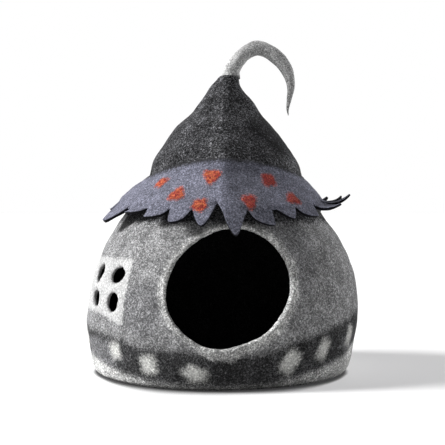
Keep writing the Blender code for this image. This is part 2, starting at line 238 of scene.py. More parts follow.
@dataclass(frozen=True)
class Wave:
    """One slow wave of the wall round its circle."""

    count: int
    share: float
    phase: float


@dataclass
class CaveForm:
    """The outer form that the wall, the collar and the tufts share."""

    wall: float = 0.008
    floor: float = 0.010
    rows: tuple[WallRow, ...] = table(
        WallRow,
        (0.0, 0.1975, -0.004), (0.003, 0.205, -0.004), (0.01, 0.21, -0.003), (0.024, 0.2147, -0.002),
        (0.05, 0.2195, -0.002), (0.08, 0.2237, -0.001), (0.11, 0.2232, 0.001), (0.14, 0.2197, 0.002),
        (0.17, 0.2133, 0.003), (0.2, 0.2015, 0.003), (0.225, 0.1882, 0.002), (0.245, 0.1742, 0.001),
        (0.265, 0.1595, 0.002), (0.285, 0.147, 0.003), (0.305, 0.134, 0.004), (0.32, 0.128, 0.005),
        (0.335, 0.1245, 0.005), (0.35, 0.1185, 0.004), (0.37, 0.1055, 0.004), (0.39, 0.0915, 0.003),
        (0.407, 0.078, 0.003), (0.425, 0.059, 0.005), (0.445, 0.0445, 0.006), (0.465, 0.029, 0.005),
        (0.478, 0.0215, 0.007), (0.4905, 0.0165, 0.013),
    )
    waves: tuple[Wave, ...] = table(Wave, (3, 0.006, 1.0), (5, 0.004, 2.0))
    ridge_rise: float = 0.086
    ridge_spread: float = 13.0
    ridge_blunt: float = 0.8
    ridge_front: float = -1.5
    ridge_from: float = 0.250
    ridge_full: float = 0.320
    fine_step: float = 0.001
    slope_step: float = 0.004
    heights: np.ndarray = field(init=False)
    radii: np.ndarray = field(init=False)
    leans: np.ndarray = field(init=False)

    def __post_init__(self) -> None:
        """Read the rows once into a fine table."""
        keys = column(self.rows, "height")
        self.heights = np.append(np.arange(0.0, keys[-1], self.fine_step), keys[-1])
        self.radii, self.leans = (smooth_rows(keys, column(self.rows, name), self.heights)
                                  for name in ("radius", "lean"))

    def mean_radius(self, height: Numbers) -> Numbers:
        """The wall's mean radius at a height."""
        return np.interp(height, self.heights, self.radii)

    def lean(self, height: Numbers) -> Numbers:
        """How far the wall's circle is moved towards +X at a height."""
        return np.interp(height, self.heights, self.leans)

    def slope(self, height: Numbers) -> Numbers:
        """How fast the wall draws in with height."""
        low = self.mean_radius(np.maximum(height - self.slope_step, 0.0))
        return (low - self.mean_radius(height + self.slope_step)) / (2 * self.slope_step)

    def swell(self, azimuth: Numbers, height: Numbers) -> Numbers:
        """The factor by which the hand-rolled wall leaves its mean circle.

        Args:
            azimuth: In degrees.
            height: In metres.

        Returns:
            A factor near 1.
        """
        turn = np.radians(azimuth)
        uneven = sum(wave.share * np.cos(wave.count * turn + wave.phase) for wave in self.waves)
        from_front = np.abs(turned(np.asarray(azimuth) - self.ridge_front))
        from_ridge = np.minimum(from_front, np.abs(turned(np.asarray(azimuth) - 180.0)))
        blunt = np.hypot(from_ridge, self.ridge_blunt) - self.ridge_blunt
        zone = smooth_step((height - self.ridge_from) / (self.ridge_full - self.ridge_from))
        return 1.0 + uneven + self.ridge_rise * np.exp(-blunt / self.ridge_spread) * zone

    def radius(self, azimuth: Numbers, height: Numbers) -> Numbers:
        """The outer wall's radius at a place."""
        return self.mean_radius(height) * self.swell(azimuth, height)

    def azimuth_of(self, points: np.ndarray) -> np.ndarray:
        """Each point's azimuth round the leaning wall."""
        return np.degrees(np.arctan2(points[:, 0] - self.lean(points[:, 2]), -points[:, 1]))

    def across_of(self, points: np.ndarray) -> np.ndarray:
        """Each point's distance from the leaning wall's axis."""
        return np.hypot(points[:, 0] - self.lean(points[:, 2]), points[:, 1])

    def depth_of(self, points: np.ndarray) -> np.ndarray:
        """How deep each point lies below the outer face of the wall."""
        face = self.radius(self.azimuth_of(points), points[:, 2])
        return (face - self.across_of(points)) / np.hypot(1.0, self.slope(points[:, 2]))

    def place(self, azimuth: float, radius: float, height: float) -> Vector:
        """The point at an azimuth, a radius and a height."""
        turn = math.radians(azimuth)
        return Vector((float(self.lean(height)) + radius * math.sin(turn), -radius * math.cos(turn), height))


# The cave's wall


@dataclass(frozen=True)
class Door:
    """The round door, seen along +Y, and its rolled lip."""

    x: float = 0.007
    z: float = 0.150
    radius: float = 0.0880
    wider: float = 0.0045
    stretch: float = 0.0040
    flat: float = 0.0050
    flat_at: float = 285.0
    flat_spread: float = 20.0
    left_in: float = 0.0036
    left_from: float = 0.3
    lip_width: float = 0.0084
    lip_depth: float = 0.0060
    lip_back: float = 0.0026
    lip_square: float = 0.55
    lip_lean: float = 0.38
    lip_step: float = 0.004
    lip_level: float = 0.4
    lip_level_right: float = 0.8
    firmness: float = 0.85

    def outline(self, angle: Numbers) -> Numbers:
        """The door's edge.

        Args:
            angle: From +X towards +Z, in degrees.

        Returns:
            The distance from the door's middle to its edge.
        """
        turn = np.radians(angle)
        drawn_in = self.flat * np.exp(-((turned(angle - self.flat_at) / self.flat_spread) ** 2))
        drawn_in = drawn_in + self.left_in * smooth_step(self.left_from - np.cos(turn))
        return self.radius + self.wider * np.cos(turn) ** 4 + self.stretch * np.sin(2 * turn) - drawn_in

    def outside_by(self, points: np.ndarray) -> tuple[np.ndarray, np.ndarray]:
        """How far each point lies outside the door's outline, and at what angle.

        Args:
            points: Rows of x, y, z.

        Returns:
            The distances in metres and the angles in degrees.
        """
        x, z = points[:, 0] - self.x, points[:, 2] - self.z
        angle = np.degrees(np.arctan2(z, x))
        return np.hypot(x, z) - self.outline(angle), angle


@dataclass(frozen=True)
class Patch:
    """A patch of the cave's face: where its middle is and its size."""

    azimuth: float
    height: float
    wide: float
    tall: float

    def depth(self, inside: Numbers) -> Numbers:
        """A share, 0 at the edge and 1 in the middle, as a depth in metres."""
        return inside * 0.25 * (self.wide + self.tall)


@dataclass(frozen=True)
class Window(Patch):
    """One oval window, with its slant."""

    slant: float


@dataclass(frozen=True)
class BandRow:
    """The dark band's two edges at one azimuth."""

    azimuth: float
    bottom: float
    top: float


@dataclass(frozen=True)
class Dot(Patch):
    """One patch on the wall, with its slant and its number of corners: felted-in wool, painted shade or a painted
    highlight.
    """

    slant: float = 0.0
    corners: int = 3


@dataclass
class CaveShell:
    """The seamless wall with its hollow, its lipped door, its windows and its regions of coloured wool, painted shade
    and painted highlight.
    """

    form: CaveForm
    door: Door = Door()
    spin_steps: int = 224
    door_steps: int = 120
    lip_sides: int = 16
    window_steps: int = 28
    row_step: float = 0.004
    foot_heights: tuple[float, ...] = (0.0, 0.0015, 0.003, 0.005, 0.0075)
    rows_from: float = 0.011
    hollow_top: float = 0.455
    hollow_foot: float = 0.010
    hollow_foot_high: float = 0.020
    voxel: float = 0.0042
    smoothings: int = 3
    door_from: float = -0.30
    door_reach: float = 0.22
    window_reach: float = 0.03
    lip_from: float = -0.004
    lip_past: float = 0.002
    lip_lost: float = 0.0045
    lumps: tuple[Lump, ...] = table(Lump, (0.0016, 0.060, 3.0), (0.0009, 0.022, 7.0), (0.0004, 0.009, 11.0))
    crease_deep: float = 0.0016
    crease_at: float = 47.0
    crease_slant: float = 60.0
    crease_middle: float = 0.19
    crease_spread: float = 3.0
    crease_from: float = 0.14
    crease_rise: float = 0.04
    crease_to: float = 0.26
    crease_fall: float = 0.03
    base_flat: float = 0.012
    front: float = -0.05
    front_passes: int = 6
    windows: tuple[Window, ...] = table(
        Window,
        (-69.3, 0.1665, 0.037, 0.021, 26.0), (-51.0, 0.166, 0.035, 0.02, 14.0),
        (-67.6, 0.1268, 0.037, 0.023, -5.0), (-51.2, 0.1255, 0.031, 0.026, 0.0),
    )
    band: tuple[BandRow, ...] = table(
        BandRow,
        (-180.0, 0.044, 0.093), (-130.0, 0.04, 0.09), (-100.0, 0.036, 0.086), (-74.0, 0.0365, 0.0805),
        (-63.0, 0.033, 0.079), (-53.5, 0.0265, 0.0765), (-44.0, 0.019, 0.0725), (-37.0, 0.015, 0.0665),
        (-30.0, 0.0125, 0.0635), (-20.8, 0.0095, 0.061), (-12.0, 0.0085, 0.06), (0.0, 0.0065, 0.057),
        (14.0, 0.0075, 0.057), (20.7, 0.01, 0.06), (27.0, 0.0145, 0.069), (34.1, 0.018, 0.076),
        (41.0, 0.0235, 0.082), (50.2, 0.03, 0.091), (57.9, 0.037, 0.097), (69.3, 0.049, 0.105),
        (81.2, 0.057, 0.109), (105.0, 0.059, 0.109), (140.0, 0.052, 0.102), (180.0, 0.044, 0.093),
    )
    dots: tuple[Dot, ...] = table(
        Dot,
        (-81.0, 0.06, 0.028, 0.028, 0.0, 5), (-47.6, 0.0525, 0.027, 0.027, -14.0, 4),
        (-29.6, 0.037, 0.03, 0.029, -6.0, 4), (-10.2, 0.0262, 0.038, 0.024, 14.0, 5),
        (28.3, 0.0412, 0.029, 0.04, 34.0, 4), (45.0, 0.0555, 0.027, 0.035, 24.0, 4),
        (64.6, 0.0692, 0.026, 0.032, 20.0, 4), (83.0, 0.08, 0.027, 0.033, 10.0, 5),
        (102.0, 0.083, 0.029, 0.036, -8.0, 4), (121.0, 0.079, 0.032, 0.031, 15.0, 5),
        (141.0, 0.076, 0.028, 0.037, -12.0, 4), (161.0, 0.071, 0.033, 0.031, 5.0, 4),
        (-179.0, 0.068, 0.027, 0.036, -10.0, 5), (-159.0, 0.066, 0.031, 0.031, 20.0, 4),
        (-139.0, 0.066, 0.027, 0.036, 0.0, 4), (-119.0, 0.062, 0.032, 0.03, -14.0, 5),
        (-100.0, 0.062, 0.027, 0.035, 8.0, 4),
    )
    # Patches of paler or darker grey wool on the band and the body. The one at azimuth 32, right of the door under the
    # collar, is painted shade.
    washes_and_painted_shade: tuple[Dot, ...] = table(
        Dot,
        (-66.0, 0.05, 0.08, 0.036), (-53.0, 0.047, 0.07, 0.036), (63.0, 0.058, 0.044, 0.03),
        (-33.0, 0.12, 0.08, 0.08), (32.0, 0.205, 0.09, 0.12), (-97.0, 0.058, 0.06, 0.026, 10.0),
        (128.0, 0.082, 0.07, 0.026, -6.0), (-150.0, 0.066, 0.06, 0.028, 4.0),
    )
    # Painted shade: a darker patch on the roof's +X side, away from the key light.
    roof_painted_shade: Dot = Dot(60.0, 0.392, 0.320, 0.072)
    # Painted highlight: paler charcoal on the flank of the roof's ridge that faces the key light.
    ridge_painted_highlight: Dot = Dot(-8.0, 0.382, 0.036, 0.170)
    dot_radius: float = 0.215
    dot_corner: float = 0.09
    dot_turn: float = 0.8
    # The roof's charcoal starts this low so that it also lies under the collar, where it is painted shade in the
    # notches between the leaves.
    charcoal_and_painted_shade_from: float = 0.247
    side_radius: float = 0.21
    field_from: float = -84.0
    field_to: float = -42.3
    field_high: float = 0.1925
    field_low: tuple[tuple[float, float], ...] = (
        (-180.0, 0.107), (-66.0, 0.107), (-60.0, 0.106), (-55.0, 0.103), (-50.5, 0.0985), (-46.0, 0.0945),
        (-42.3, 0.0935), (180.0, 0.0935),
    )
    rim_widths: tuple[tuple[float, float], ...] = (
        (0.0, 0.0120), (60.0, 0.0112), (120.0, 0.0108), (180.0, 0.0118), (225.0, 0.0092), (243.0, 0.0095),
        (258.0, 0.0160), (270.0, 0.0185), (300.0, 0.0155), (330.0, 0.0130), (360.0, 0.0120),
    )
    tunnel_reach: float = 0.006
    cut_from: float = 0.0010
    cut_off: float = 0.02
    inside_from: float = 0.0042
    inside_by_door: float = 0.016
    door_near: float = 0.016
    inside_by_window: float = 0.0055
    base_depth: float = -0.01

    def build(self) -> Object:
        """Make the shell.

        Returns:
            The finished piece, with its colour regions stored on its points.
        """
        shell = self.turned_body("felted_cave", self.outer_profile(), 0.0)
        hollow = self.turned_body("hollow", self.hollow_profile(), self.form.wall)
        lip = self.door_lip()
        helpers = [hollow, self.door_plug(), lip, *map(self.window_plug, self.windows)]
        for helper in helpers:
            worked = shell.modifiers.new(helper.name, "BOOLEAN")
            worked.operation = "UNION" if helper == lip else "DIFFERENCE"
            worked.solver = "MANIFOLD"
            worked.object = helper
        remesh = shell.modifiers.new("felted", "REMESH")
        remesh.mode = "VOXEL"
        remesh.voxel_size = self.voxel
        bake_modifiers(shell)
        roll = surface_of(lip)
        for helper in helpers:
            bpy.data.objects.remove(helper)
        self.ease(shell.data, roll)
        self.work_by_hand(shell.data)
        self.paint_regions(shell.data)
        return shell

    def outer_profile(self) -> list[tuple[float, float]]:
        """Lay out the outer wall.

        Returns:
            Its radius and height from the middle of the base to the tip.
        """
        top = self.form.rows[-1].height
        heights = [*self.foot_heights, *np.arange(self.rows_from, top - self.row_step / 2, self.row_step), top]
        rows = [(float(self.form.mean_radius(height)), height) for height in heights]
        return [(0.0, 0.0), *rows, (0.0, top)]

    def hollow_profile(self) -> list[tuple[float, float]]:
        """Lay out the hollow.

        Returns:
            Its radius and height from the middle of its floor to its top.
        """
        rows = []
        for height in np.arange(self.form.floor, self.hollow_top, self.row_step):
            rise = (height - self.form.floor) / self.hollow_foot_high
            foot = self.hollow_foot * (1.0 - float(smooth_step(rise)))
            inset = self.form.wall * math.hypot(1.0, float(self.form.slope(height))) + foot
            rows.append((float(self.form.mean_radius(height)) - inset, float(height)))
        return [(0.0, self.form.floor), *rows, (0.0, rows[-1][1])]

    def turned_body(self, name: str, profile: list[tuple[float, float]], inset: float) -> Object:
        """Spin a profile into a closed body, then give it the hand-rolled form.

        Args:
            name: The object's name.
            profile: Radius and height along the profile, from axis to axis.
            inset: How far the body lies inside the wall's outer face.

        Returns:
            The new object.
        """
        bm = bmesh.new()
        chain = [bm.verts.new((radius, 0.0, height)) for radius, height in profile]
        for pair in zip(chain, chain[1:]):
            bm.edges.new(pair)
        spin(bm, UP, self.spin_steps)
        bmesh.ops.remove_doubles(bm, verts=bm.verts, dist=SAME_POINT)
        face_out(bm)
        points = np.array([vert.co for vert in bm.verts])
        azimuth = np.degrees(np.arctan2(points[:, 0], -points[:, 1]))
        across = np.hypot(points[:, 0], points[:, 1])
        swell = self.form.swell(azimuth, points[:, 2])
        share = across / np.maximum(self.form.mean_radius(points[:, 2]), TINY)
        factor = np.where(share > 0.5, (across + inset) * swell / np.maximum(across, TINY), swell)
        factor = np.where(share > 0.5, factor - inset / np.maximum(across, TINY), factor)
        lean = self.form.lean(points[:, 2])
        for vert, scale, shift in zip(bm.verts, factor, lean):
            vert.co.x = vert.co.x * scale + shift
            vert.co.y = vert.co.y * scale
        return object_of(bm, name)

    def draw_out(self, bm: BMesh, name: str, by: Vector) -> Object:
        """Draw a cap out into a closed prism, for cutting.

        Args:
            bm: The cap.
            name: The prism's name.
            by: How far, and which way.

        Returns:
            The prism.
        """
        grown = bmesh.ops.extrude_face_region(bm, geom=list(bm.faces), use_keep_orig=True)
        verts = [item for item in grown["geom"] if isinstance(item, bmesh.types.BMVert)]
        bmesh.ops.translate(bm, verts=verts, vec=by)
        face_out(bm)
        return object_of(bm, name)

    def door_plug(self) -> Object:
        """Draw the door's outline out along Y.

        Returns:
            The cutter, which ends inside the hollow.
        """
        bm = bmesh.new()
        bmesh.ops.create_circle(bm, cap_ends=True, radius=1.0, segments=self.door_steps)
        bmesh.ops.rotate(bm, verts=bm.verts, matrix=Matrix.Rotation(math.pi / 2, 3, "X"))
        for vert in bm.verts:
            angle = math.degrees(math.atan2(vert.co.z, vert.co.x))
            radius, turn = float(self.door.outline(angle)), math.radians(angle)
            vert.co = (self.door.x + radius * math.cos(turn), self.door_from, self.door.z + radius * math.sin(turn))
        return self.draw_out(bm, "door_plug", self.door_reach * BACKWARDS)

    def window_plug(self, window: Window) -> Object:
        """Draw one oval window out along its own azimuth.

        Args:
            window: The window.

        Returns:
            The cutter, which reaches through the wall and no further.
        """
        bm = bmesh.new()
        bmesh.ops.create_circle(bm, cap_ends=True, radius=0.5, segments=self.window_steps)
        bmesh.ops.scale(bm, verts=bm.verts, vec=(window.wide, window.tall, 1.0))
        bmesh.ops.rotate(bm, verts=bm.verts, matrix=Matrix.Rotation(math.radians(window.slant), 3, "Z"))
        radius = float(self.form.radius(window.azimuth, window.height))
        middle = self.form.place(window.azimuth, radius, window.height)
        turn = math.radians(window.azimuth)
        outward = Vector((math.sin(turn), -math.cos(turn), 0.0))
        sideways = UP.cross(outward)
        for vert in bm.verts:
            vert.co = middle + sideways * vert.co.x + UP * vert.co.y - outward * self.window_reach
        return self.draw_out(bm, "window_plug", outward * (2 * self.window_reach))

    def door_lip(self) -> Object:
        """Spin the rolled lip about the door's middle, and lay it on the wall.

        Returns:
            The lip, to be joined to the wall.
        """
        far = 5.0
        bm = bmesh.new()
        ring = bmesh.ops.create_circle(bm, radius=1.0, segments=self.lip_sides)["verts"]
        bmesh.ops.translate(bm, verts=ring, vec=(far, 0.0, 0.0))
        spin(bm, BACKWARDS, self.door_steps)
        face_out(bm)
        for vert in bm.verts:
            angle = math.degrees(math.atan2(vert.co.z, vert.co.x))
            outwards = math.hypot(vert.co.x, vert.co.z) - far
            square = [math.copysign(abs(part) ** self.door.lip_square, part) for part in (outwards, vert.co.y)]
            square[1] *= 1.0 - self.door.lip_lean * square[0]
            vert.co = self.lip_point(angle, *square)
        face_out(bm)
        return object_of(bm, "door_lip")

    def lip_point(self, angle: float, outwards: float, through: float) -> Vector:
        """A point of the lip.

        Args:
            angle: Round the door, in degrees.
            outwards: Away from the door's middle, -1 to 1 across the lip.
            through: Along the wall's inward direction, -1 to 1 across the lip.

        Returns:
            The point's place.
        """
        turn = math.radians(angle)
        out = Vector((math.cos(turn), 0.0, math.sin(turn)))
        radius = float(self.door.outline(angle)) + self.door.lip_width
        middle, near = (self.on_front(self.door.x + reach * out.x, self.door.z + reach * out.z)
                        for reach in (radius, radius - self.door.lip_step))
        across = (middle - near).normalized()
        inwards = across.cross(Vector((-out.z, 0.0, out.x))).normalized()
        if inwards.y < 0.0:
            inwards.negate()
        level = self.door.lip_level - self.door.lip_level_right * out.x
        inwards = inwards.lerp(BACKWARDS, min(max(level, 0.0), 1.0))
        depth = self.door.lip_depth if through < 0.0 else self.door.lip_back
        return middle + across * (outwards * self.door.lip_width) + inwards * (through * depth)

    def on_front(self, x: float, z: float) -> Vector:
        """Find the middle of the wall's thickness at the front.

        Args:
            x: How far towards +X.
            z: How high.

        Returns:
            The point there.
        """
        azimuth = radius = 0.0
        for _ in range(self.front_passes):
            radius = float(self.form.radius(azimuth, z)) - self.form.wall / 2
            azimuth = math.degrees(math.asin((x - float(self.form.lean(z))) / radius))
        return Vector((x, -radius * math.cos(math.radians(azimuth)), z))

    def ease(self, mesh: Mesh, roll: BVHTree) -> None:
        """Ease the edges as felting does, and bring the lip that this draws in back out to its face.

        Args:
            mesh: The wall.
            roll: The lip's own surface.
        """
        bm = bmesh.new()
        bm.from_mesh(mesh)
        for _ in range(self.smoothings):
            bmesh.ops.smooth_vert(bm, verts=bm.verts, factor=0.5, use_axis_x=True, use_axis_y=True, use_axis_z=True)
        bm.to_mesh(mesh)
        bm.free()
        points = points_of(mesh)
        outside, _ = self.door.outside_by(points)
        by_lip = (outside > self.lip_from) & (outside < 2 * self.door.lip_width + self.lip_past)
        for k in np.flatnonzero(by_lip & (points[:, 1] < self.front)):
            point = Vector(points[k])
            face, normal, _, distance = roll.find_nearest(point)
            if distance < self.lip_lost and (point - face).dot(normal) < 0.0:
                points[k] = point.lerp(face, self.door.firmness)
        set_points(mesh, points)

    def work_by_hand(self, mesh: Mesh) -> None:
        """Give the wall its soft lumps and its crease, and keep its base flat.

        Args:
            mesh: The wall.
        """
        points, normals = points_of(mesh), points_of(mesh, "normal")
        height = points[:, 2]
        rise = sum(lump.at(points) for lump in self.lumps)
        from_crease = self.form.azimuth_of(points) - self.crease_at - self.crease_slant * (height - self.crease_middle)
        zone = smooth_step((height - self.crease_from) / self.crease_rise)
        zone = zone * smooth_step((self.crease_to - height) / self.crease_fall)
        outer = self.form.depth_of(points) < self.form.wall / 2
        rise -= self.crease_deep * np.exp(-((from_crease / self.crease_spread) ** 2)) * zone * outer
        points = points + normals * (rise * smooth_step(height / self.base_flat))[:, None]
        points[:, 2] = np.maximum(points[:, 2], 0.0)
        set_points(mesh, points)

    def paint_regions(self, mesh: Mesh) -> None:
        """Store how deep each point lies inside each region of coloured wool, painted shade and painted highlight, in
        metres.

        Args:
            mesh: The finished wall.
        """
        points = points_of(mesh)
        azimuth, height, depth = self.form.azimuth_of(points), points[:, 2], self.form.depth_of(points)
        keys = column(self.band, "azimuth")
        bottom, top = (smooth_rows(keys, column(self.band, name), azimuth) for name in ("bottom", "top"))
        side = np.minimum(azimuth - self.field_from, self.field_to - azimuth) * self.side_radius * np.radians(1.0)
        low = np.interp(azimuth, *zip(*self.field_low))
        near = np.full(len(points), -FAR_OUT)
        for window in self.windows:
            across = np.radians(azimuth - window.azimuth) * self.side_radius
            near = np.minimum(near, np.hypot(across, height - window.height) - 0.5 * window.wide)
        tunnel = smooth_step(1.0 - near / self.tunnel_reach)
        outside, angle = self.door.outside_by(points)
        width = np.interp(angle % 360.0, *zip(*self.rim_widths))
        front = points[:, 1] < self.front
        by_door = smooth_step(1.0 - (outside + self.lip_from) / self.door_near) * front
        inside = depth - self.inside_from - self.inside_by_door * by_door - self.inside_by_window * tunnel
        regions = {
            "roof": height - self.charcoal_and_painted_shade_from,
            "band": np.minimum(top - height, height - bottom),
            "hem": bottom - height,
            "field": np.minimum(side, np.minimum(height - low, self.field_high - height)),
            "cut": depth - self.cut_from - self.cut_off * (1.0 - tunnel),
            "rim": np.where(front, width - outside, FAR_OUT),
            "inside": np.where(height < self.form.floor * 0.5, self.base_depth, inside),
        }
        dots = {"dot": self.dots, "wash_and_painted_shade": self.washes_and_painted_shade, "ridge_painted_highlight": (self.ridge_painted_highlight,), "roof_painted_shade": (self.roof_painted_shade,)}
        regions.update({name: self.dot_depth(patches, azimuth, height) for name, patches in dots.items()})
        for name, values in regions.items():
            paint(mesh, name, values)

    def dot_depth(self, dots: tuple[Dot, ...], azimuth: np.ndarray, height: np.ndarray) -> np.ndarray:
        """How deep each point lies inside the nearest patch.

        Args:
            dots: The patches.
            azimuth: The points' azimuths.
            height: The points' heights.

        Returns:
            Depths in metres, below 0 outside the patches.
        """
        best = np.full(len(azimuth), FAR_OUT)
        for dot in dots:
            across = np.radians(turned(azimuth - dot.azimuth)) * self.dot_radius
            up, slant = height - dot.height, math.radians(dot.slant)
            x = (across * math.cos(slant) - up * math.sin(slant)) / (dot.wide / 2)
            y = (across * math.sin(slant) + up * math.cos(slant)) / (dot.tall / 2)
            corner = 1.0 + self.dot_corner * np.cos(dot.corners * (np.arctan2(y, x) - self.dot_turn))
            best = np.maximum(best, dot.depth(1.0 - np.hypot(x, y) / corner))
        return best


# The leaf collar


@dataclass(frozen=True)
class Leaf:
    """One leaf of the collar: its first notch, its tip, its length, how it flares and curls, and its two sides.

    The sides are 1 where they run straight from notch to tip, and less where they bulge.
    """

    notch: float
    notch_height: float
    tip: float
    length: float
    flare: float
    curl: float
    before: float = 0.6
    after: float = 0.6
    thin: float = 0.15


@dataclass(frozen=True)
class Tuft(Patch):
    """One needled tuft on the collar, with its outline's corners and turn."""

    corners: int
    turn: float


@dataclass
class LeafCollar:
    """The flared skirt of thin felt, cut into leaves, and its needled tufts."""

    form: CaveForm
    felt: float = 0.0056
    gap: float = 0.0003
    seam: float = 0.0003
    sunk: float = 0.0030
    sunk_share: float = 0.5
    stout: float = 0.0026
    stout_speed: float = 3.0
    thin_speed: float = 1.6
    thin_late: float = 0.6
    flare_speed: float = 2.0
    top_full: float = 0.55
    edge_crease: float = 0.55
    leaf_columns: int = 12
    skirt_rows: int = 14
    leaf_rows: int = 10
    leaf_steps: int = 6
    tip_edge: float = 0.22
    tip_round: float = 1.6
    top: float = 0.321
    top_rise: float = 0.026
    flare_from: float = 0.325
    flare_slope: float = 0.69
    flare_bend: float = 4.0
    slope_lean: float = 0.20
    bend_lean: float = 2.0
    # The painted shade down the collar's +X side: how it rises past the ridge and where it fades, in degrees.
    collar_painted_shade_rise: float = 8.0
    collar_painted_shade_to: float = 32.0
    collar_painted_shade_fall: float = 18.0
    tuft_corner: float = 1.5
    tuft_uneven: float = 0.13
    tuft_waves: float = 2.0
    tuft_seed: float = 3.1
    tuft_near: float = 2.0
    tuft_shrink: float = 0.04
    tuft_depth: float = 0.0007
    tuft_lift: float = 0.0002
    tuft_sides: int = 40
    look_from: float = 0.5
    look_to: float = 0.11
    lumps: tuple[Lump, ...] = table(Lump, (0.0007, 0.020, 5.0), (0.0003, 0.007, 9.0))
    leaves: tuple[Leaf, ...] = table(
        Leaf,
        (-103.0, 0.284, -101.0, 0.028, 48.0, 10.0, 0.6, 0.8), (-90.0, 0.286, -86.0, 0.03, 46.0, 5.0, 0.6, 0.8),
        (-74.0, 0.284, -67.8, 0.05, 50.0, -5.0, 0.35, 0.7), (-54.0, 0.277, -56.8, 0.0185, 38.0, 0.0, 0.35, 0.35),
        (-38.3, 0.2733, -38.6, 0.0225, 36.0, 0.0, 0.35, 0.32), (-26.0, 0.2705, -23.5, 0.0302, 38.0, 0.0, 1.4, 0.32),
        (-15.0, 0.2697, -8.8, 0.0425, 38.0, -5.0, 1.12, 0.67), (-3.7, 0.2801, 5.0, 0.054, 25.0, -5.0, 1.6, 1.29),
        (11.1, 0.2694, 23.6, 0.0325, 28.5, 0.0, 0.41, 1.39), (22.9, 0.2696, 35.4, 0.0257, 33.4, 0.0, 1.6, 1.37),
        (38.9, 0.2739, 53.0, 0.0288, 38.0, 5.0, 0.35, 0.35), (54.6, 0.2785, 60.8, 0.0555, 70.0, 62.0, 1.05, 0.56, 0.6),
        (71.3, 0.286, 79.0, 0.0655, 80.0, 70.0, 0.8, 1.06, 0.65),
        (84.4, 0.2905, 99.6, 0.055, 82.0, 76.0, 1.48, 1.11, 0.6),
        (95.0, 0.284, 103.1, 0.0267, 103.0, 51.0, 0.83, 1.3, 0.6), (108.5, 0.282, 114.0, 0.028, 46.0, 8.0),
        (122.0, 0.277, 127.6, 0.035, 70.0, 12.0), (135.5, 0.282, 140.5, 0.031, 56.0, 12.0),
        (149.0, 0.279, 153.5, 0.038, 63.0, 12.0), (162.5, 0.278, 166.7, 0.04, 66.0, 12.0),
        (176.0, 0.283, 180.1, 0.033, 54.0, 12.0), (189.5, 0.277, 193.6, 0.033, 69.0, 12.0),
        (203.0, 0.281, 207.3, 0.04, 60.0, 12.0), (216.5, 0.281, 221.2, 0.038, 59.0, 12.0),
        (230.0, 0.277, 235.3, 0.031, 69.0, 12.0), (243.5, 0.283, 249.4, 0.036, 54.0, 12.0),
    )
    tufts: tuple[Tuft, ...] = table(
        Tuft,
        (-43.0, 0.3096, 0.0205, 0.015, 4, 35.0), (-25.6, 0.2905, 0.0235, 0.019, 3, 90.0),
        (-8.3, 0.3185, 0.025, 0.021, 3, -92.0), (-11.2, 0.2738, 0.023, 0.0195, 5, 60.0),
        (28.4, 0.3132, 0.0245, 0.0205, 4, 45.0), (12.2, 0.28, 0.0215, 0.02, 3, -85.0),
        (39.2, 0.2837, 0.025, 0.016, 3, -40.0), (96.0, 0.3008, 0.021, 0.017, 3, 80.0),
        (124.0, 0.3108, 0.024, 0.018, 5, 10.0), (152.0, 0.2958, 0.02, 0.018, 4, 30.0),
        (180.0, 0.3148, 0.023, 0.017, 4, 0.0), (-152.0, 0.2968, 0.022, 0.016, 3, -80.0),
        (-124.0, 0.3098, 0.021, 0.019, 5, 30.0), (-97.0, 0.3018, 0.022, 0.015, 4, 50.0),
    )

    def top_at(self, azimuth: Numbers) -> Numbers:
        """The height of the collar's top edge."""
        return self.top + self.top_rise * np.cos(np.radians(azimuth)) ** 2

    def skirt(self, azimuth: float, height: float) -> tuple[float, float]:
        """The underside of the skirt above its notches.

        Args:
            azimuth: In degrees.
            height: In metres.

        Returns:
            The radius and the angle from straight down.
        """
        radius = float(self.form.radius(azimuth, height)) + self.gap
        drop = self.flare_from - height
        if drop <= 0.0:
            return radius, math.atan(float(self.form.slope(height)))
        side = math.sin(math.radians(azimuth))
        slope = self.flare_slope - self.slope_lean * side
        bend = self.flare_bend + self.bend_lean * side
        flared = float(self.form.radius(azimuth, self.flare_from)) + self.gap + slope * drop + bend * drop * drop
        return max(flared, radius), math.atan(slope + 2 * bend * drop)

    def leaf_point(self, azimuth: float, root: float, leaf: Leaf, distance: float) -> tuple[float, float, float]:
        """The underside of a leaf, a distance below the line of its notches.

        Args:
            azimuth: In degrees.
            root: The height of the notch line there.
            leaf: The leaf.
            distance: Along the leaf, in metres.

        Returns:
            The radius, the height and the angle from straight down.
        """
        radius, angle = self.skirt(azimuth, root)
        height, bend = root, angle
        step = distance / self.leaf_steps
        for k in range(self.leaf_steps):
            share = min((k + 0.5) * step / leaf.length, 1.0)
            bend = angle + (math.radians(leaf.flare) - angle) * float(smooth_step(self.flare_speed * share))
            bend += math.radians(leaf.curl) * share * share
            radius += step * math.sin(bend)
            height -= step * math.cos(bend)
        return radius, height, bend

